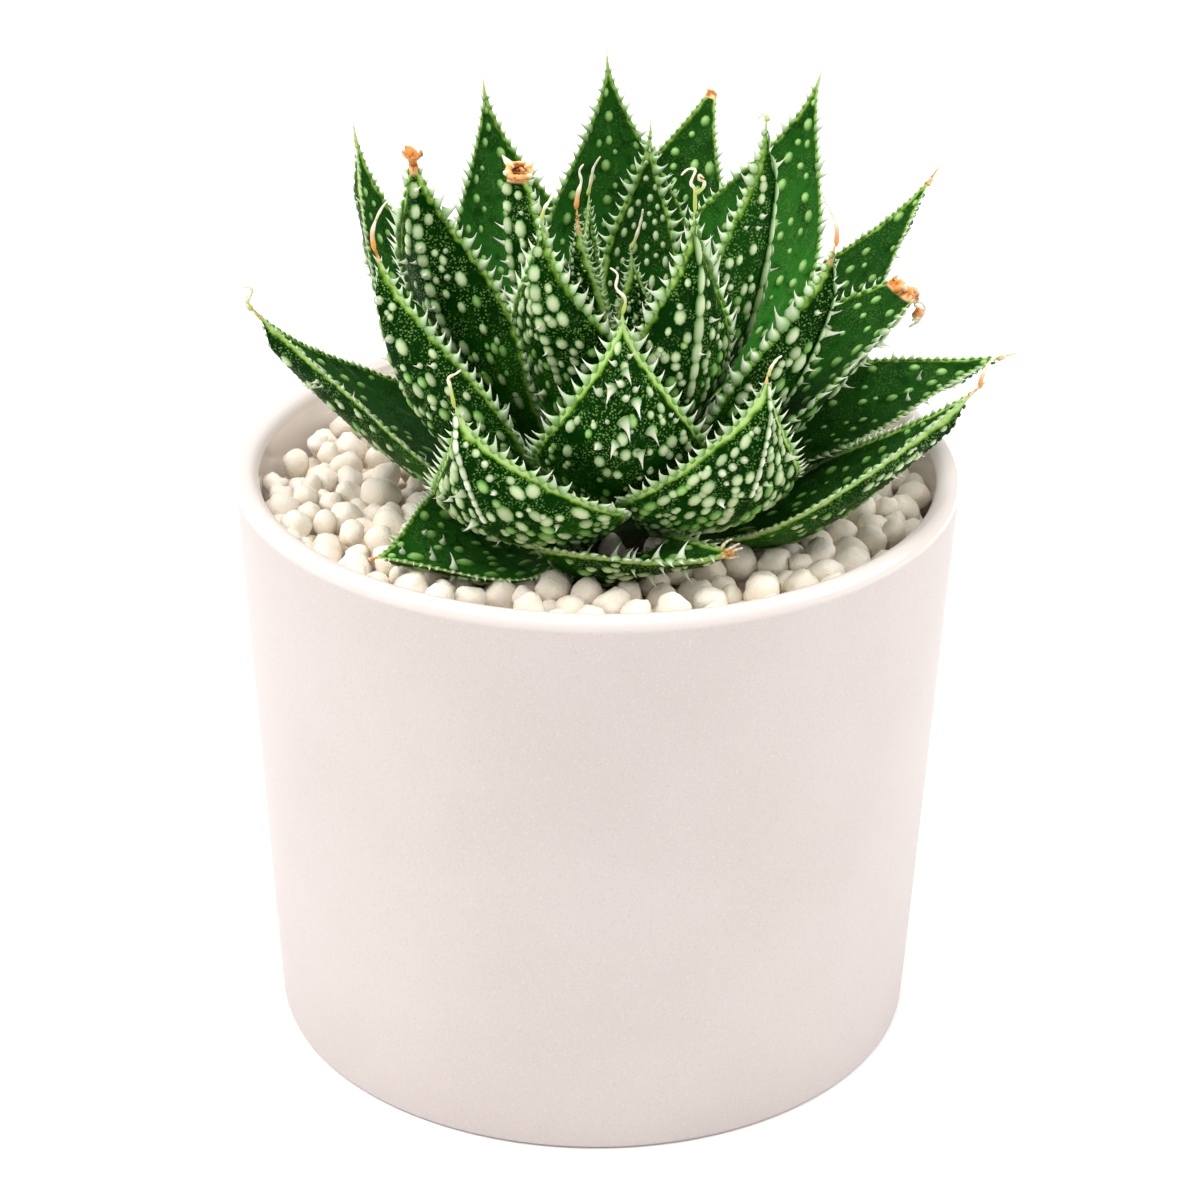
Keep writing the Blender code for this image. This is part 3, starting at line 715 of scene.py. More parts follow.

# %% [markdown]
# ## Character of the leaves
#
# Leaves of one rosette differ with age and place. The tall ones at the back show a bright inner face with
# short teeth, the young ones round the middle are dark with the boldest teeth, and the oldest lie low and
# dull. The bright inner face of the tall ones is partly their own fresher green and partly painted light,
# for the light that falls on them. Each group has five numbers, and some leaves have their own.

# %% Looks
# Length of the teeth, freshness of the inner face with painted light for the lit leaves, size of the warts,
# boldness of the keel's row, crowding
GROUP_LOOKS = {
    "low": (0.75, 0.10, 0.80, 0.3, 0.45),
    "mid": (1.10, 0.25, 1.00, 0.0, 0.62),
    "high": (0.88, 0.60, 0.78, 0.5, 0.85),
    "inner": (1.20, 0.15, 1.00, 0.95, 0.60),
    "heart": (1.20, 0.10, 0.80, 0.5, 0.40),
}
OWN_LOOKS = {
    "low_1": (0.60, 0.40, 1.00, 0.3, 1.0),
    "low_2": (0.95, 0.35, 0.90, 0.0, 0.5),
    "mid_1": (1.00, 0.25, 1.12, 0.55, 1.3),
    "mid_2": (1.00, 0.25, 1.12, 0.55, 1.3),
    "mid_3": (1.30, 0.25, 0.95, 0.0, 0.48),
    "mid_4": (0.60, 0.12, 0.80, 0.3, 0.5),
    "mid_7": (0.65, 0.35, 0.90, 0.5, 0.5),
    "mid_8": (1.20, 0.35, 0.90, 0.95, 0.5),
    "high_3": (0.65, 0.15, 0.90, 0.5, 1.0),
    "high_5": (1.35, 0.35, 1.20, 0.9, 0.6),
    "high_6": (1.10, 0.85, 0.90, 1.0, 0.5),
    "inner_2": (1.25, 0.15, 0.90, 1.0, 0.75),
    "inner_4": (1.00, 0.0, 0.75, 0.7, 1.3),
}


def look_of(leaf):
    """The five numbers of a leaf."""
    return OWN_LOOKS.get(leaf.name, GROUP_LOOKS[leaf.name.split("_")[0]])


print("leaves with a look of their own:", len(OWN_LOOKS))

# %% [markdown]
# ## Leaf blades
#
# A blade is drawn with many more rings than the CAD leaf, so that it looks smooth. The bends, which the CAD
# knows only at a few stations, are drawn as one soft curve. Each point also keeps how far it is from the
# margin, how far along the leaf, and how withered, for the skin's shader to read.

# %% Numbers of the blade
BLADE_RINGS = 72
INNER_STEPS = 14
OUTER_STEPS = 18
# Where along the leaf it starts to wither, for the leaves whose tips are dry
DRY_FROM = {
    "low_1": 0.96, "low_2": 0.97, "low_3": 0.94, "low_4": 0.955, "low_5": 0.955, "mid_4": 0.95,
    "mid_5": 0.975, "mid_6": 0.95, "mid_8": 0.98, "high_3": 0.99, "high_5": 0.925, "inner_3": 0.975,
    "heart_1": 0.88, "mid_2": 0.96,
}
NEVER_DRY = 2.0
# How much broader the pale margin is drawn, in mm
PLAIN_MARGIN = -0.15
BROAD_MARGINS = {"mid_1": 0.15, "mid_2": 0.15, "mid_3": 0.15, "low_2": 0.2, "low_3": 0.1, "inner_4": 0.1}
# A bend is the mean of those at these distances along the leaf
SOFTENED_OVER = (-0.08, -0.04, 0, 0.04, 0.08)
# A pointed tip thins out to this share of its thickness, this fast
TIP_SHARE = 0.2
TIP_THINNING = 9
# How deep a torn end is sunk, as a share of the length
TORN_DEPTH = 0.95


# %% Points of the smooth skin
def soft_shift(leaf, s):
    """The leaf's bend at s, rounded between the stations."""
    near = [leaf.shift_at(min(1, max(0, s + d))) for d in SOFTENED_OVER]
    return sum(near) / len(near)


def skin_point(leaf, s, u, outer, thin=1.0):
    """Point of the smooth skin, where the CAD leaf has only a few flat faces."""
    bend = leaf.frame(s)[2] * (soft_shift(leaf, s) - leaf.shift_at(s))
    return leaf.point(s, u, outer, 0.0, thin) + bend


# %% Length of a leaf
def leaf_length(leaf, steps=40):
    """Length of the middle line."""
    line = [leaf.spine(i / steps) for i in range(steps + 1)]
    return sum((b - a).length for a, b in zip(line, line[1:]))


print("points of a blade:", BLADE_RINGS * (INNER_STEPS + OUTER_STEPS) + 2)


# %% Blade of one leaf
def blade(leaf):
    """The leaf's fine mesh, closed at the stem and at the tip."""
    places = [(math.cos(math.pi * j / INNER_STEPS), 0) for j in range(INNER_STEPS)]
    places += [(-math.cos(math.pi * j / OUTER_STEPS), 1) for j in range(OUTER_STEPS)]
    length = leaf_length(leaf)
    dry_from = DRY_FROM.get(leaf.name, NEVER_DRY)
    fresh = look_of(leaf)[1]
    points, edge, place, outside, dry = [], [], [], [], []
    for i in range(BLADE_RINGS):
        s = i / (BLADE_RINGS - 1)
        half = leaf.half_width_at(s)
        thin = 1.0 if leaf.ends_at < 1 else min(1.0, TIP_SHARE + TIP_THINNING * (1 - s))
        for u, outer in places:
            points.append(skin_point(leaf, s, u, outer, thin))
            edge.append((1 - abs(u)) * half / MM)
            place.append((u * half / MM, s * length / MM, s))
            outside.append(0.5 if abs(u) == 1 else outer)
            dry.append((s - dry_from) / (1 - dry_from) if s > dry_from else 0.0)
    sides = len(places)
    faces = ring_faces(BLADE_RINGS, sides)
    deep = 1.0 if leaf.ends_at == 1 else TORN_DEPTH
    for s in (0, deep):
        points.append(core(leaf, s))
        edge.append(0)
        place.append((0, s * length / MM, s))
        outside.append(0.5)
        dry.append(dry[-1])
    first, final = len(points) - 2, len(points) - 1
    top = (BLADE_RINGS - 1) * sides
    faces += [(first, (j + 1) % sides, j) for j in range(sides)]
    faces += [(top + j, top + (j + 1) % sides, final) for j in range(sides)]
    piece = new_piece("blade_" + leaf.name, points, faces)
    store(piece, "place", place, "FLOAT_VECTOR")
    for name, values in (("edge_mm", edge), ("outside", outside), ("dry", dry)):
        store(piece, name, values)
    # Freshness, which also paints light onto the lit inner faces of the tall back leaves
    store(piece, "fresh", [fresh] * len(points))
    store(piece, "broad", [BROAD_MARGINS.get(leaf.name, PLAIN_MARGIN)] * len(points))
    return piece


# %% [markdown]
# The skin is dark green, nearly black towards the tip of the outer face and bright on the inner face of the
# tall leaves, where soft pale streaks run lengthwise; that brightness is partly the leaves' own green and
# partly painted light, for the light that falls on them. Fine pale grains sparkle in the dark. A lime green
# line follows the margin, and the margin itself is pale horn. Withered ends turn straw and orange brown.

# %% Colours and patterns of the skin
SKIN_DARK = (0.002, 0.025, 0.001)
SKIN_DEEP = (0.009, 0.056, 0.005)
SKIN_LIVELY = (0.015, 0.125, 0.003)
# Bright green of the inner face, partly painted light on the tall back leaves
INNER_BRIGHT = (0.036, 0.215, 0.022)
STREAK = (0.12, 0.26, 0.07)
GRAIN = (0.13, 0.25, 0.06)
LIME = (0.18, 0.37, 0.02)
HORN_PALE = (0.42, 0.58, 0.22)
STRAW = (0.80, 0.55, 0.28)
RUST = (0.60, 0.17, 0.03)
TONE_SIZE = 7 * MM
MOTTLE_SIZE = 2.6 * MM
GRAIN_SIZE = 0.42 * MM
GRAIN_DEPTH = 0.035 * MM
GRAIN_PATCHES = 3.5 * MM
WAVE_SIZE = 1.6 * MM
RUST_SIZE = 1.0 * MM

# %% Leaf skin: green of the two faces
flesh, surface = new_finish("aloe_skin", 0.38, 0.015)
tree = flesh.node_tree
place = add_node(tree, "ShaderNodeAttribute", attribute_name="place").outputs["Vector"]
along = add_node(tree, "ShaderNodeSeparateXYZ", {"Vector": place}).outputs["Z"]
outside = kept(tree, "outside")
clouds = object_noise(tree, TONE_SIZE, 3)
tone = combined(tree, "ADD", along, combined(tree, "MULTIPLY", clouds, 0.5))
outer_green = mixed(tree, ramp(tree, tone, 0.35, 0.85), SKIN_LIVELY, SKIN_DARK)
# Partly painted light: freshness brightens the faces of the tall back leaves, which the light falls on
outer_green = mixed(tree, ramp(tree, kept(tree, "fresh"), 0.7, 1.4), outer_green, INNER_BRIGHT)
bright = combined(tree, "MULTIPLY", kept(tree, "fresh"), ramp(tree, tone, 1.35, 0.55))
inner_green = mixed(tree, bright, SKIN_DEEP, INNER_BRIGHT)
stretched = add_node(tree, "ShaderNodeMapping", {"Vector": place, "Scale": (0.9, 0.16, 0)})
streaks = add_node(tree, "ShaderNodeTexNoise", {"Vector": stretched.outputs["Vector"], "Scale": 1.0})
streaky = combined(tree, "MULTIPLY", ramp(tree, streaks.outputs["Fac"], 0.58, 0.76), 0.25)
inner_green = mixed(tree, streaky, inner_green, STREAK)
mottle = combined(tree, "MULTIPLY", ramp(tree, object_noise(tree, MOTTLE_SIZE, 4), 0.48, 0.68), 0.60)
inner_green = mixed(tree, mottle, inner_green, SKIN_DARK)
colour = mixed(tree, outside, inner_green, outer_green)

# %% Leaf skin: grains, margin and withered end
dots = add_node(tree, "ShaderNodeTexVoronoi",
                {"Vector": add_node(tree, "ShaderNodeTexCoord").outputs["Object"], "Scale": 1 / GRAIN_SIZE})
grains = ramp(tree, dots.outputs["Distance"], 0.50, 0.20)
patches = ramp(tree, object_noise(tree, GRAIN_PATCHES, 2), 0.36, 0.56)
grainy = combined(tree, "MULTIPLY", grains, patches)
share = combined(tree, "MULTIPLY", grainy, ramp(tree, outside, -0.6, 1.0))
colour = mixed(tree, share, colour, GRAIN)
edge = kept(tree, "edge_mm")
wavy = combined(tree, "ADD", edge, combined(tree, "MULTIPLY", object_noise(tree, WAVE_SIZE, 1), -0.9))
wavy = combined(tree, "SUBTRACT", wavy, kept(tree, "broad"))
colour = mixed(tree, ramp(tree, wavy, 0.55, 0.0), colour, LIME)
colour = mixed(tree, ramp(tree, wavy, 0.3, -0.25), colour, HORN_PALE)
dry = kept(tree, "dry")
colour = mixed(tree, ramp(tree, dry, 0.02, 0.35), colour, STRAW)
rusty = combined(tree, "MULTIPLY", ramp(tree, dry, 0.05, 0.5),
                 ramp(tree, object_noise(tree, RUST_SIZE), 0.38, 0.58))
colour = mixed(tree, rusty, colour, RUST)
tree.links.new(colour, surface.inputs["Base Color"])
bumped(tree, surface, grains, GRAIN_DEPTH)
print("nodes in the skin:", len(tree.nodes))

# %% [markdown]
# ## Teeth and warts
#
# Teeth and warts are small shapes repeated over a leaf, so each is drawn once with few faces. Every point
# of such a shape keeps its rise from 0 at the foot to 1 at the top, which lets the shader fade it out of
# the dark skin into pale horn.

# %% Rings of a tooth, a wart and a thorn
SHAPE_SIDES = 8
# Rings of each shape: height, half length along the leaf, half width across, lean along, rise
TOOTH_RINGS = [
    (-0.45, 0.80, 0.42, -0.05, 0.0),
    (0.00, 0.66, 0.36, 0.00, 0.2),
    (0.30, 0.45, 0.28, 0.06, 0.45),
    (0.70, 0.27, 0.18, 0.22, 0.75),
    (1.20, 0.13, 0.10, 0.52, 1.0),
]
TOOTH_TIP = (1.80, 1.05)
WART_RINGS = [
    (-0.12, 1.22, 1.22, 0.00, 0.0),
    (0.10, 1.06, 1.06, 0.00, 0.2),
    (0.42, 0.88, 0.88, 0.00, 0.55),
    (0.74, 0.55, 0.55, 0.00, 0.85),
]
WART_TIP = (0.88, 0.0)
THORN_RINGS = [
    (-0.20, 1.10, 1.10, 0.00, 0.0),
    (0.15, 0.90, 0.88, 0.03, 0.3),
    (0.60, 0.56, 0.52, 0.15, 0.7),
    (1.15, 0.30, 0.26, 0.42, 0.9),
    (1.75, 0.14, 0.12, 0.90, 1.0),
]
THORN_TIP = (2.35, 1.55)
# A bar is a wart with fuller corners
BAR_SQUARE = 0.85
print("rings of a tooth, a wart and a thorn:", len(TOOTH_RINGS), len(WART_RINGS), len(THORN_RINGS))


# %% The small shapes
def small_shape(name, rings, tip, square=1.0):
    """A low closed shape with Z up, X across the leaf and Y along it; square below 1 fills its corners."""
    points, rises = [], []
    for height, length, width, lean, rise in rings:
        for j in range(SHAPE_SIDES):
            a = 2 * math.pi * (j + 0.5) / SHAPE_SIDES
            x = math.copysign(abs(math.cos(a)) ** square, math.cos(a))
            y = math.copysign(abs(math.sin(a)) ** square, math.sin(a))
            points.append((width * x, length * y + lean, height))
            rises.append(rise)
    points.append((0, tip[1], tip[0]))
    rises.append(1.0)
    top = (len(rings) - 1) * SHAPE_SIDES
    faces = ring_faces(len(rings), SHAPE_SIDES)
    faces += [(top + j, top + (j + 1) % SHAPE_SIDES, len(points) - 1) for j in range(SHAPE_SIDES)]
    faces.append(tuple(range(SHAPE_SIDES))[::-1])
    piece = new_piece(name, points, faces)
    store(piece, "rise", rises)
    return piece


tooth_shape = small_shape("tooth_shape", TOOTH_RINGS, TOOTH_TIP)
wart_shape = small_shape("wart_shape", WART_RINGS, WART_TIP)
thorn_shape = small_shape("thorn_shape", THORN_RINGS, THORN_TIP)
bar_shape = small_shape("bar_shape", WART_RINGS, WART_TIP, BAR_SQUARE)
print("faces of a tooth and a wart:", len(tooth_shape.data.polygons), len(wart_shape.data.polygons))

# %% [markdown]
# Horn is paler than skin and a little see-through, which soft, light colours and a gentle gloss suggest.

# %% Horn of the teeth and the warts
HORN_GLOSS = 0.35
# Brightness of the darkest of them, and how far they may go towards it
HORN_DARKEST = 0.55
HORN_VARIES = 0.45


def horn_finish(name, foot, middle, top, roughness):
    """A finish that pales with the rise, and is a little darker on some shapes than on others."""
    material, surface = new_finish(name, roughness, HORN_GLOSS)
    tree = material.node_tree
    rise = kept(tree, "rise")
    tone = kept(tree, "tone")
    colour = mixed(tree, ramp(tree, rise, 0.05, 0.55), foot, middle)
    colour = mixed(tree, ramp(tree, rise, 0.45, 1.0), colour, top)
    darker = mixed(tree, ramp(tree, tone, 0.0, 1.0), colour, tuple(c * HORN_DARKEST for c in middle))
    share = combined(tree, "MULTIPLY", tone, HORN_VARIES)
    tree.links.new(mixed(tree, share, colour, darker), surface.inputs["Base Color"])
    return material


tooth_horn = horn_finish("tooth_horn", (0.16, 0.36, 0.05), (0.48, 0.66, 0.36), (0.86, 0.90, 0.74), 0.4)
wart_horn = horn_finish("wart_horn", (0.02, 0.14, 0.012), (0.32, 0.47, 0.18), (0.60, 0.68, 0.42), 0.30)
dome_horn = horn_finish("dome_horn", (0.03, 0.18, 0.01), (0.13, 0.34, 0.045), (0.35, 0.55, 0.18), 0.4)
knob_horn = horn_finish("knob_horn", (0.10, 0.28, 0.03), (0.42, 0.60, 0.28), (0.84, 0.88, 0.72), 0.32)
thorn_horn = horn_finish("thorn_horn", (0.05, 0.18, 0.02), (0.48, 0.60, 0.34), (0.88, 0.88, 0.74), 0.35)
print("horn finishes: tooth, wart, dome, knob and thorn")

# %% [markdown]
# Two trees set these shapes out. Both turn a shape at each point and give it a tone of its own, and both
# end in one plain mesh with a finish, so two helpers build what they share.


# %% What both trees share
def placed_shapes(tree, points, shape, outward, ahead, scale):
    """A shape at each point, with its Z turned outward and its Y ahead."""
    turn = add_node(tree, "FunctionNodeAxesToRotation",
                    {"Primary Axis": outward, "Secondary Axis": ahead},
                    primary_axis="Z", secondary_axis="Y")
    source = add_node(tree, "GeometryNodeObjectInfo", {"Object": shape})
    placed = add_node(tree, "GeometryNodeInstanceOnPoints",
                      {"Points": points, "Instance": source.outputs["Geometry"],
                       "Rotation": turn.outputs["Rotation"], "Scale": scale})
    return placed.outputs["Instances"]


def end_tree(tree, given, instances):
    """Keeps a random tone for each instance, makes all of them one mesh and gives it the finish."""
    random_tone = add_node(tree, "FunctionNodeRandomValue", {"Seed": given["Seed"]}, data_type="FLOAT")
    toned = add_node(tree, "GeometryNodeStoreNamedAttribute",
                     {"Geometry": instances, "Name": "tone", "Value": random_tone.outputs["Value"]},
                     data_type="FLOAT", domain="INSTANCE")
    real = add_node(tree, "GeometryNodeRealizeInstances", {"Geometry": toned.outputs["Geometry"]})
    dressed = add_node(tree, "GeometryNodeSetMaterial",
                       {"Geometry": real.outputs["Geometry"], "Material": given["Finish"]})
    add_node(tree, "NodeGroupOutput", {"Geometry": dressed.outputs["Geometry"]})
    print("nodes in", tree.name + ":", len(tree.nodes))


# %% [markdown]
# The first tree sets teeth along a margin. The margin arrives as a chain of edges, is turned into a curve
# and cut into equal steps, and each step gets one tooth, turned to point out of the leaf and forward.

# %% Tree: teeth along a margin
# The smallest and the largest share of a tooth's length, and how far it sways about its axes in radians
LEAST_TOOTH = 0.62
MOST_TOOTH = 1.15
SWAY = (0.35, 0.3, 0.25)
teeth_tree = new_tree("teeth_along_margin", [
    ("Spacing", "Float", 2.2 * MM),
    ("Length", "Float", 1.1 * MM),
    ("Tooth", "Object", None),
    ("Finish", "Material", None),
    ("Seed", "Int", 0),
])
tree = teeth_tree
given = add_node(tree, "NodeGroupInput").outputs
curve = add_node(tree, "GeometryNodeMeshToCurve", {"Mesh": given["Geometry"]})
steps = add_node(tree, "GeometryNodeResampleCurve",
                 {"Curve": curve.outputs["Curve"], "Length": given["Spacing"]}, mode="LENGTH")
outward = read_attribute(tree, "outward", "FLOAT_VECTOR")
size = read_attribute(tree, "size", "FLOAT")
tangent = add_node(tree, "GeometryNodeInputTangent").outputs["Tangent"]
uneven = add_node(tree, "FunctionNodeRandomValue",
                  {"Min": LEAST_TOOTH, "Max": MOST_TOOTH, "Seed": given["Seed"]}, data_type="FLOAT")
own_size = combined(tree, "MULTIPLY", size, uneven.outputs["Value"])
own_length = combined(tree, "MULTIPLY", own_size, given["Length"])
placed = placed_shapes(tree, steps.outputs["Curve"], given["Tooth"], outward, tangent, own_length)
sway = add_node(tree, "FunctionNodeRandomValue",
                {"Min": tuple(-turn for turn in SWAY), "Max": SWAY, "Seed": given["Seed"]},
                data_type="FLOAT_VECTOR")
swayed = add_node(tree, "GeometryNodeRotateInstances",
                  {"Instances": placed, "Rotation": sway.outputs["Value"]})
end_tree(tree, given, swayed.outputs["Instances"])

# %% [markdown]
# The second tree sets one shape on every point of a cloud. Each point keeps the way out of the surface, the
# way along the leaf, and three sizes. Warts use it, and so do the pebbles later.

# %% Tree: a shape on each point
cloud_tree = new_tree("shape_on_points", [
    ("Shape", "Object", None),
    ("Finish", "Material", None),
    ("Seed", "Int", 0),
])
tree = cloud_tree
given = add_node(tree, "NodeGroupInput").outputs
outward = read_attribute(tree, "outward", "FLOAT_VECTOR")
lengthwise = read_attribute(tree, "lengthwise", "FLOAT_VECTOR")
sizes = read_attribute(tree, "sizes", "FLOAT_VECTOR")
placed = placed_shapes(tree, given["Geometry"], given["Shape"], outward, lengthwise, sizes)
end_tree(tree, given, placed)

# %% [markdown]
# A margin gets teeth from near the stem to just short of the tip. They start small, are boldest in the
# middle and shrink again, and a leaf with bold teeth has fewer of them.

# %% Teeth of one leaf
MARGIN_STEPS = 48
TEETH_FROM = 0.10
# Where they stop, on a pointed leaf and on one without its point
TEETH_TO = (0.96, 0.98)
# How much a tooth points out of the margin, out of the inner face and forward
TOOTH_POINTS = (0.9, 0.22, 0.3)
TOOTH_SPACING = 1.45 * MM
TOOTH_SIZE = 1.15 * MM
# Shares of length and spacing for the teeth of small leaves, and of length for those on knobs
SMALL_TEETH = 0.5
SMALL_SPACING = 0.55
KNOB_SHARE = 0.78
# Leaves whose teeth stand on round pale knobs
KNOBBY = ("inner_1", "inner_2", "inner_3", "mid_8", "high_5", "high_6")


def margin_teeth(leaf, side, seed):
    """Teeth out of one margin, smaller near the stem and the tip."""
    end = TEETH_TO[leaf.ends_at < 1]
    out, up, forward = TOOTH_POINTS
    bold = look_of(leaf)[0]
    points, outward, sizes = [], [], []
    for i in range(MARGIN_STEPS):
        s = TEETH_FROM + (end - TEETH_FROM) * i / (MARGIN_STEPS - 1)
        along, across, inward = leaf.frame(s)
        points.append(skin_point(leaf, s, side, 0))
        outward.append((across * side * out + inward * up + along * forward).normalized())
        fade = min(1, 0.45 + 2.2 * (s - TEETH_FROM)) * min(1, 0.5 + 5 * (end - s))
        sizes.append(fade * bold * (SMALL_TEETH if leaf.small else 1))
    chain = bpy.data.meshes.new("margin")
    chain.from_pydata([tuple(p) for p in points], [(i, i + 1) for i in range(MARGIN_STEPS - 1)], [])
    piece = bpy.data.objects.new("teeth_" + leaf.name, chain)
    scene.collection.objects.link(piece)
    store(piece, "outward", outward, "FLOAT_VECTOR")
    store(piece, "size", sizes)
    spacing = TOOTH_SPACING * (0.35 + 0.85 * bold) * (SMALL_SPACING if leaf.small else 1)
    knobby = leaf.name in KNOBBY
    return grown(piece, teeth_tree, spacing=spacing, length=TOOTH_SIZE * (KNOB_SHARE if knobby else 1),
                 tooth=thorn_shape if knobby else tooth_shape,
                 finish=knob_horn if knobby else tooth_horn, seed=seed)


# %% [markdown]
# Warts are scattered by throwing darts at a face and keeping those that land clear of the others. They are
# small and round near the tip, longer near the stem, crowded on the outer face and sparse on the inner one.
# Some of those near the tip are thorns. A row of long warts runs along the keel.

# %% Bold thorns and the bounds of the scatter
# Bold thorns of single leaves: share along, share across, whether on the outer face, and size in mm
OWN_THORNS = {
    "mid_3": [(0.84, 0.1, 1, 1.0), (0.79, -0.3, 1, 1.2), (0.75, 0.3, 1, 1.2), (0.70, 0.02, 1, 1.4),
              (0.66, 0.42, 1, 1.2), (0.63, -0.1, 1, 1.1), (0.59, 0.22, 1, 1.2)],
    "low_1": [(0.86, -0.1, 0, 0.8), (0.74, 0.3, 0, 0.9), (0.62, -0.2, 0, 0.9), (0.70, -0.5, 0, 0.7)],
    "low_2": [(0.18 + 0.085 * i, -0.55 + 0.2 * (i % 2), 0, 1.0 + 0.2 * (i % 3)) for i in range(9)],
}
# Leaves whose own thorns droop, whose inner face is thorny, and whose inner warts are pale
DROOPING = ("mid_3",)
THORNY_INSIDE = ("low_1", "low_2")
PALE_INSIDE = ("inner_4",)
# Share of the warts that are thorns: near the tip of the outer face, on a thorny inner face, elsewhere
THORN_SHARES = (0.35, 0.12, 0.03)
THORNS_FROM = 0.66
WART_TRIES = 700
WART_FROM = 0.12
WART_TO = 0.95
WART_REACH = 0.92
# Smallest and largest half width of a wart in mm
WART_RADII = (0.5, 1.0)
SMALL_WARTS = 0.55
# Warts nearer to the stem than this share of the length are drawn out into streaks
STREAKED_TO = 0.45
EDGE_KEPT = 1.1 * MM
KEEL_FROM = 0.40
BAND_EVERY = 5.0 * MM
CROWDED_SHARE = 0.9
# Least distance between two warts, as a share of their sizes, on the inner and the outer face
WARTS_APART = (1.6, 0.84)
WART_HEIGHT = 0.66
print("leaves with bold thorns:", len(OWN_THORNS))


# %% One dart, and whether it stays
def dart(leaf, draw, size, crowd):
    """A place (s, u) with the half width and half length of its wart."""
    s, u = draw.uniform(WART_FROM, WART_TO), draw.uniform(-WART_REACH, WART_REACH)
    radius = draw.uniform(*WART_RADII) * MM * size * (SMALL_WARTS if leaf.small else 1)
    stretch = draw.uniform(1.05, 1.9 if crowd > 1 else 1.6)
    if s < STREAKED_TO:
        radius *= 0.8
        stretch += (STREAKED_TO - s) * draw.uniform(2, 6)
    return s, u, radius, radius * stretch


def share_kept(outer, crowd, u, y, start):
    """Share of the darts that stay: warts stand in soft bands, or crowd the whole face."""
    if crowd > 1:
        return CROWDED_SHARE
    band = 0.5 + 0.5 * math.sin(2 * math.pi * y / BAND_EVERY + start + 1.5 * u * u)
    return crowd * (0.2 + 0.8 * band ** 1.5 if outer else 0.10 + 0.45 * band)


# %% What grows where a dart stays
def one_wart(leaf, draw, s, u, outer, radius, long):
    """A thorn, or a wart that now and then has a smaller one grown onto it."""
    near_tip, thorny, elsewhere = THORN_SHARES
    likely = near_tip if outer and s > THORNS_FROM else elsewhere
    if leaf.name in THORNY_INSIDE and not outer:
        likely = thorny
    if draw.random() < likely:
        return [("thorn", s, u, outer, radius * 0.85, radius * 0.85, radius * 1.2)]
    pale = (outer and draw.random() < 0.15 + 1.1 * s) or leaf.name in PALE_INSIDE
    kind = "wart" if pale else "dome"
    spots = [(kind, s, u, outer, radius, long, radius * WART_HEIGHT)]
    if outer and draw.random() < 0.3 * look_of(leaf)[4]:
        side = draw.uniform(-0.5, 0.5) * radius / leaf.half_width_at(s)
        ahead = draw.uniform(0.7, 1.2) * long / leaf_length(leaf)
        more = radius * draw.uniform(0.55, 0.85)
        spots.append((kind, s + ahead, u + side, outer, more, more * 1.1, more * WART_HEIGHT))
    return spots


# %% Where the warts of a leaf sit
def wart_spots(leaf, draw):
    """Spots as (kind, s, u, outer, half width, half length, height)."""
    length = leaf_length(leaf)
    size, keel, crowd = look_of(leaf)[2:]
    start = draw.uniform(0, 6)
    kind = "hook" if leaf.name in DROOPING else "thorn"
    spots = [(kind, s, u, outer, own * 0.8 * MM, own * 0.8 * MM, own * 0.95 * MM)
             for s, u, outer, own in OWN_THORNS.get(leaf.name, [])]
    for outer in (1, 0):
        face = []
        for _ in range(WART_TRIES):
            s, u, radius, long = dart(leaf, draw, size, crowd)
            half = leaf.half_width_at(s)
            x, y = u * half, s * length
            if half * (1 - abs(u)) < min(EDGE_KEPT, 0.25 * half) + radius * 0.8:
                continue
            if outer and s > KEEL_FROM and abs(x) < 0.8 * MM * keel + radius and keel > 0:
                continue
            if draw.random() > share_kept(outer, crowd, u, y, start):
                continue
            if any(math.hypot((x - a) / (radius + r), (y - b) / (long + q)) < WARTS_APART[outer]
                   for a, b, r, q in face):
                continue
            face.append((x, y, radius, long))
            spots += one_wart(leaf, draw, s, u, outer, radius, long)
    return spots


# %% The row along the keel
# Leaves whose keel is a short bold crest, and those whose keel is one long bar after another
CRESTED = ("mid_1", "mid_2")
BEAMED = ("inner_2", "high_6")
CREST_FROM = 0.62
KEEL_TO = 0.94
KEEL_HALF = 0.85 * MM


def keel_spots(leaf, draw):
    """A row of long warts that nearly touch, along the middle of the outer face."""
    length = leaf_length(leaf)
    bold = look_of(leaf)[3] * (0.6 if leaf.small else 1)
    crest, beam = leaf.name in CRESTED, leaf.name in BEAMED
    spots = []
    s = (CREST_FROM if crest else KEEL_FROM) if bold > 0 else 1
    while s < KEEL_TO:
        half = min(KEEL_HALF * bold, leaf.half_width_at(s) * 0.4) * draw.uniform(0.85, 1.1)
        long = half * (draw.uniform(1.6, 3.0) if beam or crest else draw.uniform(1.1, 1.7))
        s += long / length
        spots.append(("crest" if crest else "bar", s, 0.0, 1, half, long, half * (1.3 if crest else 0.75)))
        if draw.random() < 0.3 and s > 0.55:
            spots.append(("thorn", s, 0.0, 1, half * 0.8, half * 0.8, half * 1.1))
        s += long / length * (draw.uniform(0.55, 0.8) if crest else draw.uniform(0.9, 1.0))
        if not (crest or beam):
            s += draw.uniform(0.1, 0.9) * MM / length
    return spots


# %% [markdown]
# Each kind of wart has its own shape and horn. The tree takes one shape at a time, so a leaf's spots are
# sorted by kind, and each kind becomes one small piece.

# %% Warts of one leaf
WART_KINDS = {
    "wart": (wart_shape, wart_horn),
    "dome": (wart_shape, dome_horn),
    "bar": (bar_shape, wart_horn),
    "crest": (bar_shape, thorn_horn),
    "thorn": (thorn_shape, thorn_horn),
    "hook": (thorn_shape, thorn_horn),
}
print("kinds of wart:", ", ".join(WART_KINDS))


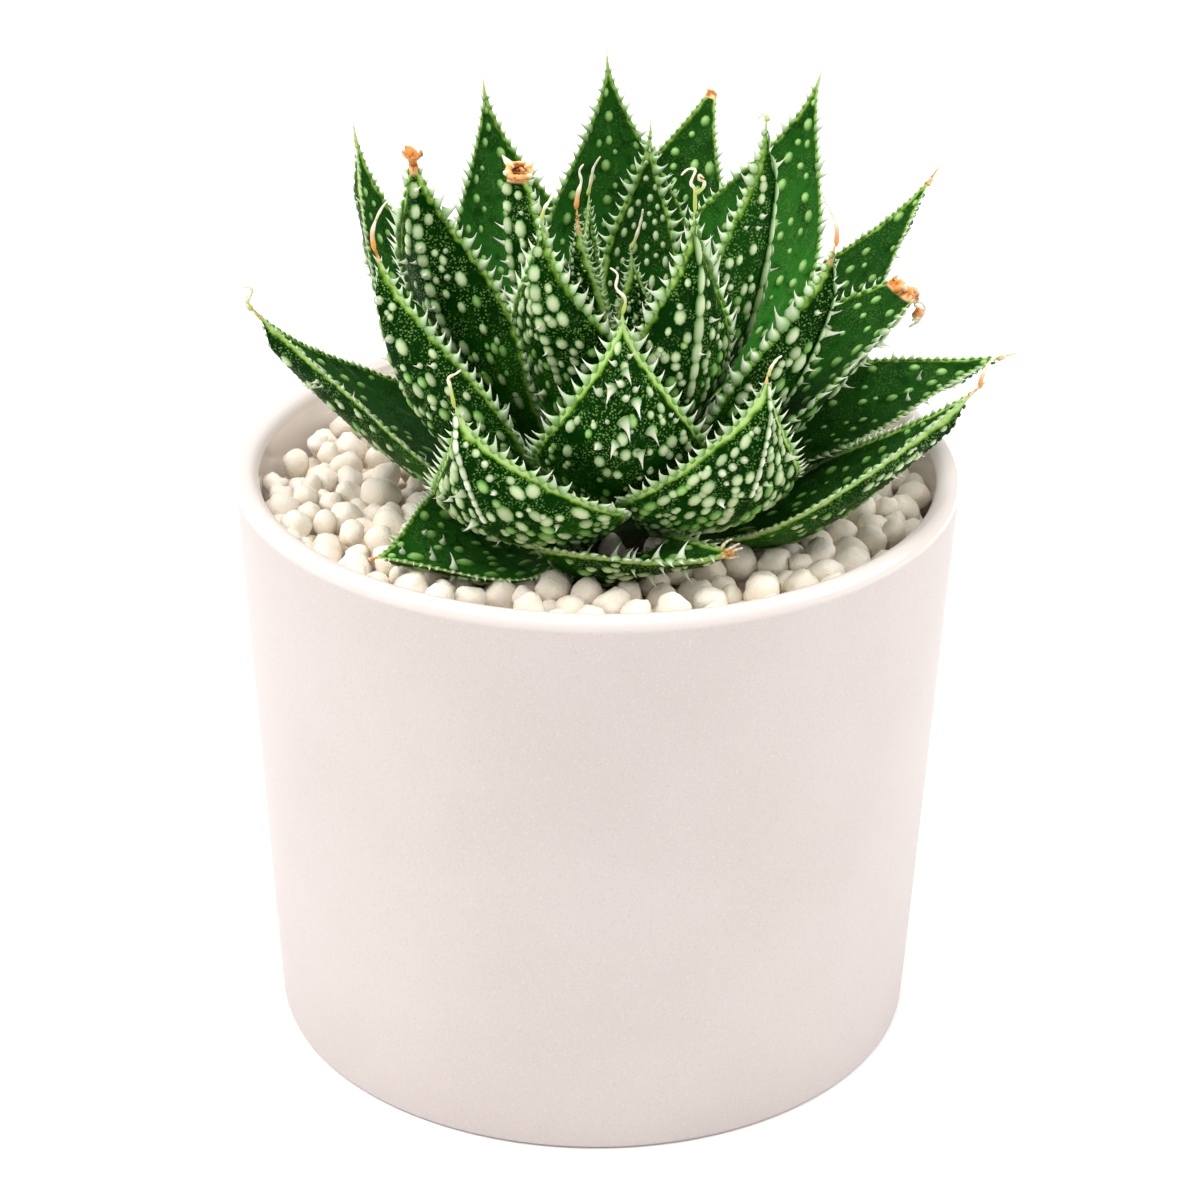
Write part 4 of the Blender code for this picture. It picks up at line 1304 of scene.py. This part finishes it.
def warts(leaf, seed):
    """The leaf's warts, one small piece for each kind."""
    draw = random.Random(seed)
    spots = wart_spots(leaf, draw) + keel_spots(leaf, draw)
    pieces = []
    for kind, (shape, horn) in WART_KINDS.items():
        points, outward, lengthwise, sizes = [], [], [], []
        for _, s, u, outer, half, long, height in [spot for spot in spots if spot[0] == kind]:
            middle = skin_point(leaf, s, u, outer)
            ahead = skin_point(leaf, s + 0.01, u, outer) - middle
            aside = skin_point(leaf, s, u + 0.02, outer) - middle
            points.append(middle)
            straight = ahead.cross(aside).normalized() * (-1 if outer else 1)
            if kind == "hook":
                straight -= ahead.normalized() * 0.9 + aside.normalized() * draw.uniform(-0.6, 0.6)
            outward.append(straight.normalized())
            lengthwise.append(ahead.normalized() * (-1 if kind == "hook" else 1))
            sizes.append((half, long, height))
        if not points:
            continue
        piece = new_piece("warts_" + leaf.name, points, [])
        store(piece, "outward", outward, "FLOAT_VECTOR")
        store(piece, "lengthwise", lengthwise, "FLOAT_VECTOR")
        store(piece, "sizes", sizes, "FLOAT_VECTOR")
        pieces.append(grown(piece, cloud_tree, shape=shape, finish=horn, seed=seed))
    return pieces, len(spots)


# %% [markdown]
# ## Withered ends
#
# Many tips dry into a thin curly thread. Each is a tapered tube through a few places, read from the picture
# as so many millimetres to the right of the leaf's tip and above it. Some dry to orange first.

# %% Where the threads go
THREADS = [
    # leaf, whether it dries to orange, places to the right of the tip and above it
    ("low_1", 1, [(0, 0), (-0.7, -0.2), (-1.2, 0.4)]),
    ("low_2", 0, [(0, 0.6), (1.2, 1.2), (2.2, 1.9)]),
    ("low_2", 0, [(0, 0.2), (1.4, 0.6), (2.7, 1.2)]),
    ("low_2", 0, [(-0.8, 0.8), (0.0, 1.8), (1.0, 2.6)]),
    ("low_2", 0, [(0, -0.3), (1.1, -0.5), (2.1, -0.2)]),
    ("low_3", 1, [(0, 0), (0.1, 1.4), (0.7, 3.0), (1.8, 4.6), (3.2, 5.2), (4.0, 4.7)]),
    ("low_5", 0, [(0, 0), (-0.9, 1.3), (-0.2, 2.6), (-0.3, 3.6), (-1.7, 3.8)]),
    ("mid_1", 0, [(0, 0), (-0.6, 3.0), (-0.9, 4.3), (0.2, 5.0), (1.0, 5.7)]),
    ("mid_2", 0, [(0, 0), (0.4, 1.2), (1.2, 2.4), (1.9, 3.1)]),
    ("mid_3", 0, [(0, 0), (0.4, 2.2), (-1.0, 3.8), (-0.8, 5.8), (-1.9, 6.9)]),
    ("mid_5", 1, [(-2.0, 1.1), (-1.2, 1.9), (-0.3, 1.6), (0.3, 0.6), (1.3, 0.9), (1.5, -0.9), (2.6, -1.4)]),
    ("mid_5", 1, [(0.2, 0.9), (1.0, 1.6), (1.9, 1.0), (1.7, -0.2), (2.7, -0.6), (3.2, -1.6)]),
    ("mid_5", 1, [(2.3, -1.9), (1.5, -2.5), (2.4, -3.2), (1.6, -3.9), (0.7, -4.3)]),
    ("mid_5", 1, [(1.6, -1.5), (2.8, -2.2), (2.2, -3.3), (1.1, -3.2)]),
    ("mid_6", 1, [(0, 0), (-0.3, 2.5), (0.4, 4.8), (1.6, 6.9), (2.7, 7.8)]),
    ("high_5", 1, [(0, 0), (0, 2.5), (-0.6, 4.3), (-1.7, 6.2), (-2.4, 7.8)]),
    ("high_6", 0, [(0, 0), (-0.3, 0.8), (-0.9, 1.0), (-1.5, 0.4)]),
    ("inner_1", 0, [(0, 0), (0.4, 1.6), (1.2, 2.8), (2.1, 4.4), (2.3, 6.4)]),
    ("inner_2", 0, [(0, 0), (-0.1, 3.3), (-0.7, 4.4), (-0.1, 6.2), (-1.2, 6.4), (-2.2, 5.6)]),
    ("inner_2", 0, [(-0.1, 3.0), (1.0, 3.6), (1.3, 4.5), (0.5, 4.9), (0.5, 5.6), (1.2, 5.2)]),
    ("heart_1", 1, [(0, 0), (0.3, 2.3), (0.8, 4.1), (0.5, 5.7), (1.1, 6.8)]),
    ("heart_2", 0, [(0, 0), (0.5, 2.2), (0.9, 4.2), (1.9, 6.0)]),
    ("heart_3", 0, [(0, 0), (0.9, 2.4), (1.5, 4.6), (1.7, 6.2)]),
]
THREAD_RADIUS = 0.33
BOLD_THREADS = ("mid_5", "low_5", "high_6")
BOLDER = 1.5
THREAD_STEPS = 30
THREAD_SIDES = 7
THREAD_TAPER = 0.38
# The tip that a thread starts from lies this far along the leaf
THREAD_FROM = 0.985
# The picture looks down on the threads, so they stand this much taller than they seem
FORESHORTENED = 1.08
print("threads:", len(THREADS))


# %% A smooth line through places
def curl(places, t):
    """Place at share t of the way through these places, on a smooth curve."""
    span = t * (len(places) - 1)
    i = min(int(span), len(places) - 2)
    f = span - i
    p0, p1, p2, p3 = (Vector(places[min(max(i + k, 0), len(places) - 1)]) for k in (-1, 0, 1, 2))
    bend = (2 * p0 - 5 * p1 + 4 * p2 - p3) * f * f + (3 * p1 - p0 - 3 * p2 + p3) * f ** 3
    return (2 * p1 + (p2 - p0) * f + bend) / 2


# %% [markdown]
# A thread is green or orange where it starts and straw further on, and a little lumpy. Threads and needles
# are both tapered tubes, so one function draws them.

# %% Finish of the threads
THREAD_GREEN = (0.42, 0.50, 0.10)
THREAD_ORANGE = (0.80, 0.30, 0.07)
THREAD_STRAW = (0.86, 0.79, 0.62)
THREAD_BROWN = (0.66, 0.46, 0.24)
THREAD_PATCHES = 1.2 * MM
thread_dry, surface = new_finish("withered_thread", 0.6, 0.15)
tree = thread_dry.node_tree
foot = mixed(tree, kept(tree, "orange"), THREAD_GREEN, THREAD_ORANGE)
colour = mixed(tree, ramp(tree, kept(tree, "rise"), 0.10, 0.42), foot, THREAD_STRAW)
colour = mixed(tree, ramp(tree, object_noise(tree, THREAD_PATCHES), 0.56, 0.72), colour, THREAD_BROWN)
tree.links.new(colour, surface.inputs["Base Color"])
print("nodes in the thread's finish:", len(tree.nodes))


# %% A tapered tube
def tube(name, line, radius, taper, orange, withers):
    """A tapered tube along a line of places, which bulges and pinches a little as dry threads do."""
    points, rises = [], []
    for i, middle in enumerate(line):
        t = i / (len(line) - 1)
        ahead = (line[min(i + 1, len(line) - 1)] - line[max(i - 1, 0)]).normalized()
        side = ahead.cross(Vector((0, 1, 0))).normalized()
        other = ahead.cross(side)
        swell = 1 + 0.15 * math.sin(23 * t) + 0.4 * orange * math.sin(math.pi * min(1, t / 0.4))
        own = radius * MM * (1 - (1 - taper) * t) * swell * min(1, 0.35 + 8 * t)
        for j in range(THREAD_SIDES):
            a = 2 * math.pi * j / THREAD_SIDES
            points.append(middle + side * own * math.cos(a) + other * own * math.sin(a))
            rises.append(t * withers)
    faces = ring_faces(len(line), THREAD_SIDES)
    faces.append(tuple(range(THREAD_SIDES))[::-1])
    top = (len(line) - 1) * THREAD_SIDES
    faces.append(tuple(range(top, top + THREAD_SIDES)))
    piece = new_piece(name, points, faces)
    store(piece, "rise", rises)
    store(piece, "orange", [orange] * len(points))
    piece.data.materials.append(thread_dry)
    return piece


# %% A thread
def thread(leaf, orange, places):
    """A thread from the leaf's tip through places in millimetres to the right of it and above it."""
    tip = core(leaf, THREAD_FROM)
    line = []
    for i in range(THREAD_STEPS):
        t = i / (THREAD_STEPS - 1)
        right, above = curl(places, t)
        line.append(tip + Vector((right, 0.5 * math.sin(3 * t), above * FORESHORTENED)) * MM)
    radius = THREAD_RADIUS * (BOLDER if leaf.name in BOLD_THREADS else 1)
    return tube("thread_" + leaf.name, line, radius, THREAD_TAPER, orange, 1.0)


# %% [markdown]
# Other leaves end in a fine needle, green or dried to orange, which carries the blade's point on.

# %% Needles
NEEDLES = {
    "high_1": 0, "high_2": 0, "high_4": 0, "mid_7": 0, "mid_4": 1, "low_4": 1, "low_5": 0, "low_6": 0,
    "low_7": 0, "inner_4": 0, "heart_4": 0,
}
NEEDLE_FROM = 0.955
NEEDLE_TO = 0.999
NEEDLE_STEPS = 24
NEEDLE_BEYOND = 1.4 * MM
BEYOND_STEPS = 5
NEEDLE_RADIUS = 0.33
NEEDLE_TAPER = 0.25
print("needles:", len(NEEDLES))


def needle(leaf, orange):
    """A tapered tube along the middle of the leaf's last part and a little beyond."""
    line = []
    for i in range(NEEDLE_STEPS):
        s = NEEDLE_FROM + (NEEDLE_TO - NEEDLE_FROM) * i / (NEEDLE_STEPS - 1)
        line.append(leaf.point(s, 0, 0) * 0.6 + leaf.point(s, 0, 1) * 0.4)
    end, ahead = line[-1], leaf.frame(1)[0]
    line += [end + ahead * NEEDLE_BEYOND * k / BEYOND_STEPS for k in range(1, BEYOND_STEPS + 1)]
    withers = 0.9 if orange else 0.5
    return tube("needle_" + leaf.name, line, NEEDLE_RADIUS, NEEDLE_TAPER, orange, withers)


# %% [markdown]
# Five tips were nipped or torn off, and their ends dried into a ragged papery collar. It continues the skin
# beyond the end of the leaf, flares or closes, and its rim is uneven.

# %% Finish of the dry ends
# Leaf: length of the collar, how far it flares (less than nothing closes it), and raggedness, in mm
COLLARS = {
    "mid_5": (0.6, 0.3, 0.7),
    "mid_8": (1.9, 1.0, 0.8),
    "high_3": (0.4, 0.2, 0.25),
    "inner_3": (0.5, 0.45, 0.2),
    "low_2": (0.5, 0.1, 0.5),
}
COLLAR_SIDES = 40
COLLAR_RINGS = 7
COLLAR_FOOT = (0.50, 0.15, 0.02)
COLLAR_ORANGE = (0.86, 0.40, 0.12)
# Peach and dark brown of the dry tissue, laid on the crumple's ridges and creases as painted light and
# painted shade
RIDGE_PALE_PAINTED_LIGHT = (0.88, 0.62, 0.36)
CREASE_DARK_PAINTED_SHADE = (0.34, 0.08, 0.015)
# Painted shade: near black for the mouth's hollow
HOLLOW_PAINTED_SHADE = (0.015, 0.006, 0.003)
THORN_STRAW = (0.86, 0.74, 0.56)
CRUMPLE_SIZE = 0.9 * MM
CRUMPLE_DEPTH = 0.25 * MM
paper_dry, surface = new_finish("withered_collar", 0.7, 0.15)
tree = paper_dry.node_tree
colour = mixed(tree, ramp(tree, kept(tree, "rise"), 0.0, 1.0), COLLAR_FOOT, COLLAR_ORANGE)
crumple = object_noise(tree, CRUMPLE_SIZE, 2)
# Painted light and shade on the dry tissue's colours: paler on the crumple's ridges and darker in its
# creases, where the bump raises and sinks it
colour = mixed(tree, ramp(tree, crumple, 0.55, 0.72), colour, RIDGE_PALE_PAINTED_LIGHT)
colour = mixed(tree, ramp(tree, crumple, 0.42, 0.32), colour, CREASE_DARK_PAINTED_SHADE)
# Painted shade: the lowest rises, the mouth's hollow and the inner side of its ring, go near black
colour = mixed(tree, ramp(tree, kept(tree, "rise"), -0.1, -1.0), colour, HOLLOW_PAINTED_SHADE)
colour = mixed(tree, ramp(tree, kept(tree, "rise"), 0.85, 1.5), colour, THORN_STRAW)
tree.links.new(colour, surface.inputs["Base Color"])
bumped(tree, surface, crumple, CRUMPLE_DEPTH)
print("leaves with a collar:", len(COLLARS))


# %% A ragged collar
def collar(leaf, length, flare, ragged):
    """A thin uneven tube that carries the end of the leaf on."""
    ahead = leaf.frame(1)[0]
    ring = []
    for j in range(COLLAR_SIDES):
        turn = 2 * math.pi * j / COLLAR_SIDES
        ring.append(skin_point(leaf, 1, math.cos(turn), int(turn > math.pi)))
    centre = sum(ring, Vector((0, 0, 0))) / COLLAR_SIDES
    points, rises = [], []
    for k in range(COLLAR_RINGS):
        t = k / (COLLAR_RINGS - 1)
        for j, spot in enumerate(ring):
            turn = 2 * math.pi * j / COLLAR_SIDES
            seed = Vector((math.cos(turn), math.sin(turn), leaf.half_width * 900))
            uneven = noise.noise(seed * 2.2) + 0.6 * noise.noise(seed * 5.3)
            tall = (length + ragged * 1.6 * uneven) * t
            wave = 0.35 * ragged * t * noise.noise(seed * 3.7 + ahead * t * 3)
            out = (spot - centre).normalized() * (flare * t * t + wave)
            points.append(spot + ahead * tall * MM + out * MM)
            rises.append(t)
    piece = new_piece("collar_" + leaf.name, points, ring_faces(COLLAR_RINGS, COLLAR_SIDES))
    store(piece, "rise", rises)
    piece.data.materials.append(paper_dry)
    return piece


# %% [markdown]
# One of them shrank to a ring round a hole, painted dark as shade, with four thorns left on its rim. It
# faces up and forward.

# %% The mouth
MOUTH_OF = "inner_3"
MOUTH_RADIUS = 1.6 * MM
MOUTH_LIP = 0.5 * MM
MOUTH_SIDES = 48
MOUTH_LIP_SIDES = 10
MOUTH_FACES = (0.05, -0.38, 0.92)
MOUTH_SHIFT = Vector((0.8, 0, 0.3)) * MM
MOUTH_DEPTH = 0.5 * MM
# Turn and length in mm of each thorn on the rim, and how broad a thorn's foot is in radians
MOUTH_THORNS = [(2.5, 1.5), (0.7, 1.2), (5.6, 0.6), (3.6, 0.7)]
MOUTH_THORN_FOOT = 0.16


def mouth(leaf):
    """A lumpy ring with a few thorns and a hollow inside, painted dark as shade."""
    up = Vector(MOUTH_FACES).normalized()
    right = Vector((0, 1, 0)).cross(up).normalized()
    back = up.cross(right)
    middle = core(leaf, 1) + MOUTH_SHIFT
    points, rises = [], []
    for k in range(MOUTH_LIP_SIDES):
        b = 2 * math.pi * k / MOUTH_LIP_SIDES
        for j in range(MOUTH_SIDES):
            a = 2 * math.pi * j / MOUTH_SIDES
            seed = Vector((math.cos(a), math.sin(a), 3))
            lip = MOUTH_LIP * (1 + 0.5 * noise.noise(seed * 2.5))
            out = MOUTH_RADIUS * (1 + 0.16 * noise.noise(seed * 1.3)) + lip * math.cos(b)
            thorn = sum(long * MM * math.exp(-((a - at) / MOUTH_THORN_FOOT) ** 2)
                        for at, long in MOUTH_THORNS)
            out += thorn * max(0, math.cos(b - 0.6))
            high = lip * math.sin(b) + thorn * 0.6 * max(0, math.cos(b - 0.6))
            points.append(middle + (right * math.cos(a) + back * math.sin(a)) * out + up * high)
            # Painted light and shade on the ring's own orange: paler and more orange on its upper outer
            # side, darker brown below
            rises.append(0.35 + 0.65 * max(0, math.cos(b - 0.9)) + thorn / MM)
    faces = [tuple(n % len(points) for n in face) for face in ring_faces(MOUTH_LIP_SIDES + 1, MOUTH_SIDES)]
    # Painted shade: the hollow's floor and the ring's inner side are marked for near black
    points.append(middle - up * MOUTH_DEPTH)
    rises.append(-1.0)
    inner = (MOUTH_LIP_SIDES * 5 // 8) * MOUTH_SIDES
    faces += [(inner + (j + 1) % MOUTH_SIDES, inner + j, len(points) - 1) for j in range(MOUTH_SIDES)]
    for j in range(MOUTH_SIDES):
        rises[inner + j] = -0.6
    piece = new_piece("mouth_" + leaf.name, points, faces)
    store(piece, "rise", rises)
    piece.data.materials.append(paper_dry)
    return piece


# %% [markdown]
# ## Putting the leaves together
#
# A leaf's blade, teeth, warts and dry ends are joined into one piece, because they grew as one. The piece
# replaces the plain CAD leaf, which stays in the scene, hidden.

# %% Dress every leaf
WART_SEEDS_FROM = 100
for number, leaf in enumerate(leaves):
    parts = [blade(leaf)]
    parts[0].data.materials.append(flesh)
    for side in (-1, 1):
        parts.append(margin_teeth(leaf, side, number * 2 + (side > 0)))
    wart_pieces, laid = warts(leaf, number + WART_SEEDS_FROM)
    parts += wart_pieces
    parts += [thread(leaf, orange, places) for name, orange, places in THREADS if name == leaf.name]
    if leaf.name in NEEDLES:
        parts.append(needle(leaf, NEEDLES[leaf.name]))
    if leaf.name in COLLARS:
        parts.append(collar(leaf, *COLLARS[leaf.name]))
    if leaf.name == MOUTH_OF:
        parts.append(mouth(leaf))
    piece = joined("aloe_leaf_" + leaf.name, parts)
    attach(piece, "root")
    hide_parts("leaf_" + leaf.name)
    print(piece.name, "warts:", laid, "faces:", len(piece.data.polygons))
for shape in (tooth_shape, wart_shape, thorn_shape, bar_shape):
    remove(shape)

# %% [markdown]
# ## Pebbles
#
# The dressing is several hundred small rounded stones poured on the soil. They are settled here as balls
# that push each other apart and are pushed off the wall, the soil and the leaves until little overlaps,
# which packs them as a real bed packs. Smaller ones fill the gaps, and one tree puts a pebble on each place.

# %% Numbers of the bed
PEBBLE_RADIUS = (2.5 * MM, 3.15 * MM)
PEBBLE_COUNT = 440
PEBBLE_SEED = 5
BED_RADIUS = 54 * MM
SOIL_TOP = 86.2 * MM
BED_MOST = 98.0 * MM
# Share of the bed's area that is left bare round the axis, and heights above the soil in mm
BARE_SHARE = 0.06
POUR_HEIGHTS = (2, 7)
# More pebbles at the front, between these distances from the axis and these azimuths
FRONT_EXTRA = 42
FRONT_HEIGHT = 9 * MM
FRONT_OUT = (34, 52)
FRONT_TURN = (215, 325)
# One that the picture shows between two leaves
SEEN_PEBBLE = (6.9 * MM, -23.5 * MM, 93.5 * MM)
SETTLE_STEPS = 90
PUSH_SHARE = 0.30
SINK = 0.10 * MM
LEAF_PUSH = 0.8 * MM
LEAVES_FROM = SOIL_TOP + 3 * MM
STEM_CLEAR = 13 * MM
# How high a pebble's middle lies on the soil, and how far from a leaf, as shares of its radius
ON_SOIL = 0.9
OFF_LEAF = 0.72
FILL_OFF_LEAF = 0.6
FILL_TRIES = 16000
FILL_RADIUS = (1.7 * MM, 2.7 * MM)
FILL_HEIGHT = (88, 94.5)
# A filler's distance from its nearest pebble, as a share of their radii
FILL_APART = (0.82, 1.2)

# %% Pour the pebbles
dice = np.random.default_rng(PEBBLE_SEED)
pebble_r = dice.uniform(*PEBBLE_RADIUS, PEBBLE_COUNT)
spread_r = BED_RADIUS * np.sqrt(dice.uniform(BARE_SHARE, 1, PEBBLE_COUNT))
spread_a = dice.uniform(0, 2 * math.pi, PEBBLE_COUNT)
pebble_at = np.stack([spread_r * np.cos(spread_a), spread_r * np.sin(spread_a),
                      SOIL_TOP + dice.uniform(*POUR_HEIGHTS, PEBBLE_COUNT) * MM], axis=1)
front_r = dice.uniform(*FRONT_OUT, FRONT_EXTRA) * MM
front_a = np.radians(dice.uniform(*FRONT_TURN, FRONT_EXTRA))
front_at = [front_r * np.cos(front_a), front_r * np.sin(front_a),
            np.full(FRONT_EXTRA, SOIL_TOP + FRONT_HEIGHT)]
pebble_at = np.concatenate([pebble_at, np.stack(front_at, axis=1), [SEEN_PEBBLE]])
pebble_r = np.concatenate([pebble_r, dice.uniform(*PEBBLE_RADIUS, FRONT_EXTRA + 1)])
print("pebbles poured:", len(pebble_r))


# %% Pushes on the pebbles
def leaf_gap(place):
    """Distance from the nearest leaf, less than nothing inside it, and the way out of it."""
    near, normal, _, away = rosette_tree.find_nearest(Vector(place))
    inside = (Vector(place) - near).dot(normal) < 0
    return (-away if inside else away), normal


def push_apart(places, radii):
    """Pushes balls that overlap away from each other."""
    gaps = places[:, None] - places[None]
    distance = np.sqrt((gaps ** 2).sum(-1)) + 1e-9
    overlap = np.clip(radii[:, None] + radii[None] - distance, 0, None)
    np.fill_diagonal(overlap, 0)
    places += (gaps / distance[..., None] * overlap[..., None]).sum(1) * PUSH_SHARE


def push_off_leaves(places, radii):
    """Pushes balls out of the leaves."""
    for n, radius in enumerate(radii):
        if places[n, 2] > LEAVES_FROM:
            gap, out = leaf_gap(places[n])
            if radius - gap > 0:
                places[n] += np.array(out) * min(radius - gap, LEAF_PUSH)


def keep_in_pot(places, radii):
    """Pushes balls in from the wall, away from the stem and up from the soil."""
    from_axis = np.hypot(places[:, 0], places[:, 1])
    most = np.array([inner_radius(z) for z in places[:, 2]]) - radii
    places[:, :2] *= np.minimum(1, most / from_axis)[:, None]
    from_stem = places[:, :2] - np.array([STEM_X, STEM_Y])
    stem_gap = np.hypot(*from_stem.T)
    least = STEM_CLEAR + radii
    places[:, :2] += from_stem / stem_gap[:, None] * np.clip(least - stem_gap, 0, None)[:, None]
    places[:, 2] = np.maximum(places[:, 2], SOIL_TOP + radii * ON_SOIL)


# %% Settle the pebbles
for step in range(SETTLE_STEPS):
    push_apart(pebble_at, pebble_r)
    pebble_at[:, 2] -= SINK * (1 - step / SETTLE_STEPS)
    push_off_leaves(pebble_at, pebble_r)
    keep_in_pot(pebble_at, pebble_r)
keep = pebble_at[:, 2] + pebble_r < BED_MOST
for n, radius in enumerate(pebble_r):
    if leaf_gap(pebble_at[n])[0] < radius * OFF_LEAF:
        keep[n] = False
pebble_at, pebble_r = list(pebble_at[keep]), list(pebble_r[keep])
print("pebbles that stay:", len(pebble_r))

# %% Fill the gaps
for _ in range(FILL_TRIES):
    own = dice.uniform(*FILL_RADIUS)
    a, out = dice.uniform(0, 2 * math.pi), BED_RADIUS * dice.uniform(0.04, 1) ** 0.6
    spot = np.array([out * math.cos(a), out * math.sin(a), dice.uniform(*FILL_HEIGHT) * MM])
    apart = np.linalg.norm(np.array(pebble_at) - spot, axis=1) / (np.array(pebble_r) + own)
    clear = leaf_gap(spot)[0] > own * FILL_OFF_LEAF and out + own < inner_radius(spot[2])
    if clear and FILL_APART[0] < apart.min() < FILL_APART[1]:
        pebble_at.append(spot)
        pebble_r.append(own)
pebble_at, pebble_r = np.array(pebble_at), np.array(pebble_r)
print("pebbles:", len(pebble_at), "highest top in mm:", round((pebble_at[:, 2] + pebble_r).max() / MM, 1))

# %% [markdown]
# A pebble is a rounded cube whose points are pushed in and out by smooth noise. Six different ones are
# enough, because each is turned and sized at random.

# %% Six pebbles
PEBBLE_KINDS = 6
# Height of the broad and the fine lumps, as a share of the radius
BROAD_LUMPS = 0.32
FINE_LUMPS = 0.08


def pebble_shape(kind):
    """One lumpy ball of radius 1."""
    bm = bmesh.new()
    bmesh.ops.create_cube(bm, size=2)
    bmesh.ops.subdivide_edges(bm, edges=bm.edges, cuts=3, use_grid_fill=True)
    for vert in bm.verts:
        ball = vert.co.normalized()
        lump = noise.noise(ball * 1.1 + Vector((kind * 7.3, 0, 0))) * BROAD_LUMPS
        lump += noise.noise(ball * 2.6 + Vector((0, kind * 3.1, 0))) * FINE_LUMPS
        vert.co = ball * (1 + lump)
    mesh = bpy.data.meshes.new("pebble_shape")
    bm.to_mesh(mesh)
    bm.free()
    mesh.shade_smooth()
    piece = bpy.data.objects.new("pebble_shape", mesh)
    scene.collection.objects.link(piece)
    return piece


print("shapes of pebble:", PEBBLE_KINDS)

# %% [markdown]
# The stones are cream white and chalky, each a little warmer or paler than the next, with small raised
# specks of brown dust. The tone that the tree gives each pebble tells them apart.

# %% Chalky stone
STONE_WARM = (0.92, 0.82, 0.70)
STONE_PALE = (0.95, 0.88, 0.78)
STONE_CHALK = (0.88, 0.79, 0.65)
STONE_DUST = (0.72, 0.62, 0.47)
CHALK_SIZE = 2.5 * MM
DUST_SIZE = 0.35 * MM
DUST_DEPTH = 0.12 * MM
stone, surface = new_finish("cream_pebble", 0.62, 0.4)
tree = stone.node_tree
chalk = object_noise(tree, CHALK_SIZE, 3)
dust = object_noise(tree, DUST_SIZE, 2)
colour = mixed(tree, ramp(tree, kept(tree, "tone"), 0.0, 1.0), STONE_WARM, STONE_PALE)
colour = mixed(tree, ramp(tree, chalk, 0.40, 0.75), colour, STONE_CHALK)
colour = mixed(tree, ramp(tree, dust, 0.66, 0.80), colour, STONE_DUST)
tree.links.new(colour, surface.inputs["Base Color"])
bumped(tree, surface, dust, DUST_DEPTH)
print("nodes in the stone:", len(tree.nodes))

# %% The bed of pebbles
beds = []
for kind in range(PEBBLE_KINDS):
    shape = pebble_shape(kind)
    mine = [n for n in range(len(pebble_at)) if n % PEBBLE_KINDS == kind]
    piece = new_piece("pebbles", [pebble_at[n] for n in mine], [])
    store(piece, "outward", [Vector(dice.normal(size=3)).normalized() for _ in mine], "FLOAT_VECTOR")
    store(piece, "lengthwise", [Vector(dice.normal(size=3)).normalized() for _ in mine], "FLOAT_VECTOR")
    store(piece, "sizes", [pebble_r[n] * dice.uniform(0.9, 1.1, 3) for n in mine], "FLOAT_VECTOR")
    beds.append(grown(piece, cloud_tree, shape=shape, finish=stone, seed=kind))
    remove(shape)
bed = joined("pebble_bed", beds)
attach(bed, "root")
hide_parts("pebbles")
print("faces of the bed:", len(bed.data.polygons))

# %% [markdown]
# ## Soil and stem
#
# Both are hidden but for small gaps, so the CAD solids stay, each with a finish of its own: dark crumbly
# soil, and a green stem that browns towards its foot.

# %% Finish of the soil
SOIL_DARK = (0.018, 0.012, 0.008)
SOIL_BROWN = (0.07, 0.045, 0.03)
CRUMB_SIZE = 1.5 * MM
CRUMB_DEPTH = 0.8 * MM
earth, surface = new_finish("potting_soil", 0.95, 0.2)
tree = earth.node_tree
crumbs = object_noise(tree, CRUMB_SIZE, 4)
colour = mixed(tree, ramp(tree, crumbs, 0.35, 0.65), SOIL_DARK, SOIL_BROWN)
tree.links.new(colour, surface.inputs["Base Color"])
bumped(tree, surface, crumbs, CRUMB_DEPTH)

# %% Finish of the stem
STEM_BROWN = (0.05, 0.045, 0.015)
STEM_GREEN = (0.03, 0.12, 0.02)
STEM_SCAR = (0.02, 0.03, 0.01)
# Heights between which the brown foot turns green
BROWN_TO = 92 * MM
GREEN_FROM = 104 * MM
SCAR_SIZE = 2 * MM
SCAR_STRETCH = (1, 1, 4)
SCAR_DEPTH = 0.3 * MM
stalk, surface = new_finish("aloe_stem", 0.6, 0.3)
tree = stalk.node_tree
place = add_node(tree, "ShaderNodeTexCoord").outputs["Object"]
height = add_node(tree, "ShaderNodeSeparateXYZ", {"Vector": place}).outputs["Z"]
colour = mixed(tree, ramp(tree, height, BROWN_TO, GREEN_FROM), STEM_BROWN, STEM_GREEN)
scars = object_noise(tree, SCAR_SIZE, 3, SCAR_STRETCH)
colour = mixed(tree, ramp(tree, scars, 0.5, 0.7), colour, STEM_SCAR)
tree.links.new(colour, surface.inputs["Base Color"])
bumped(tree, surface, scars, SCAR_DEPTH)

# %% Hand the finishes to the CAD solids
for node, material in (("soil", earth), ("stem", stalk)):
    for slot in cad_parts[node].material_slots:
        slot.material = material
    print(node, "keeps its solid, with the finish", material.name)
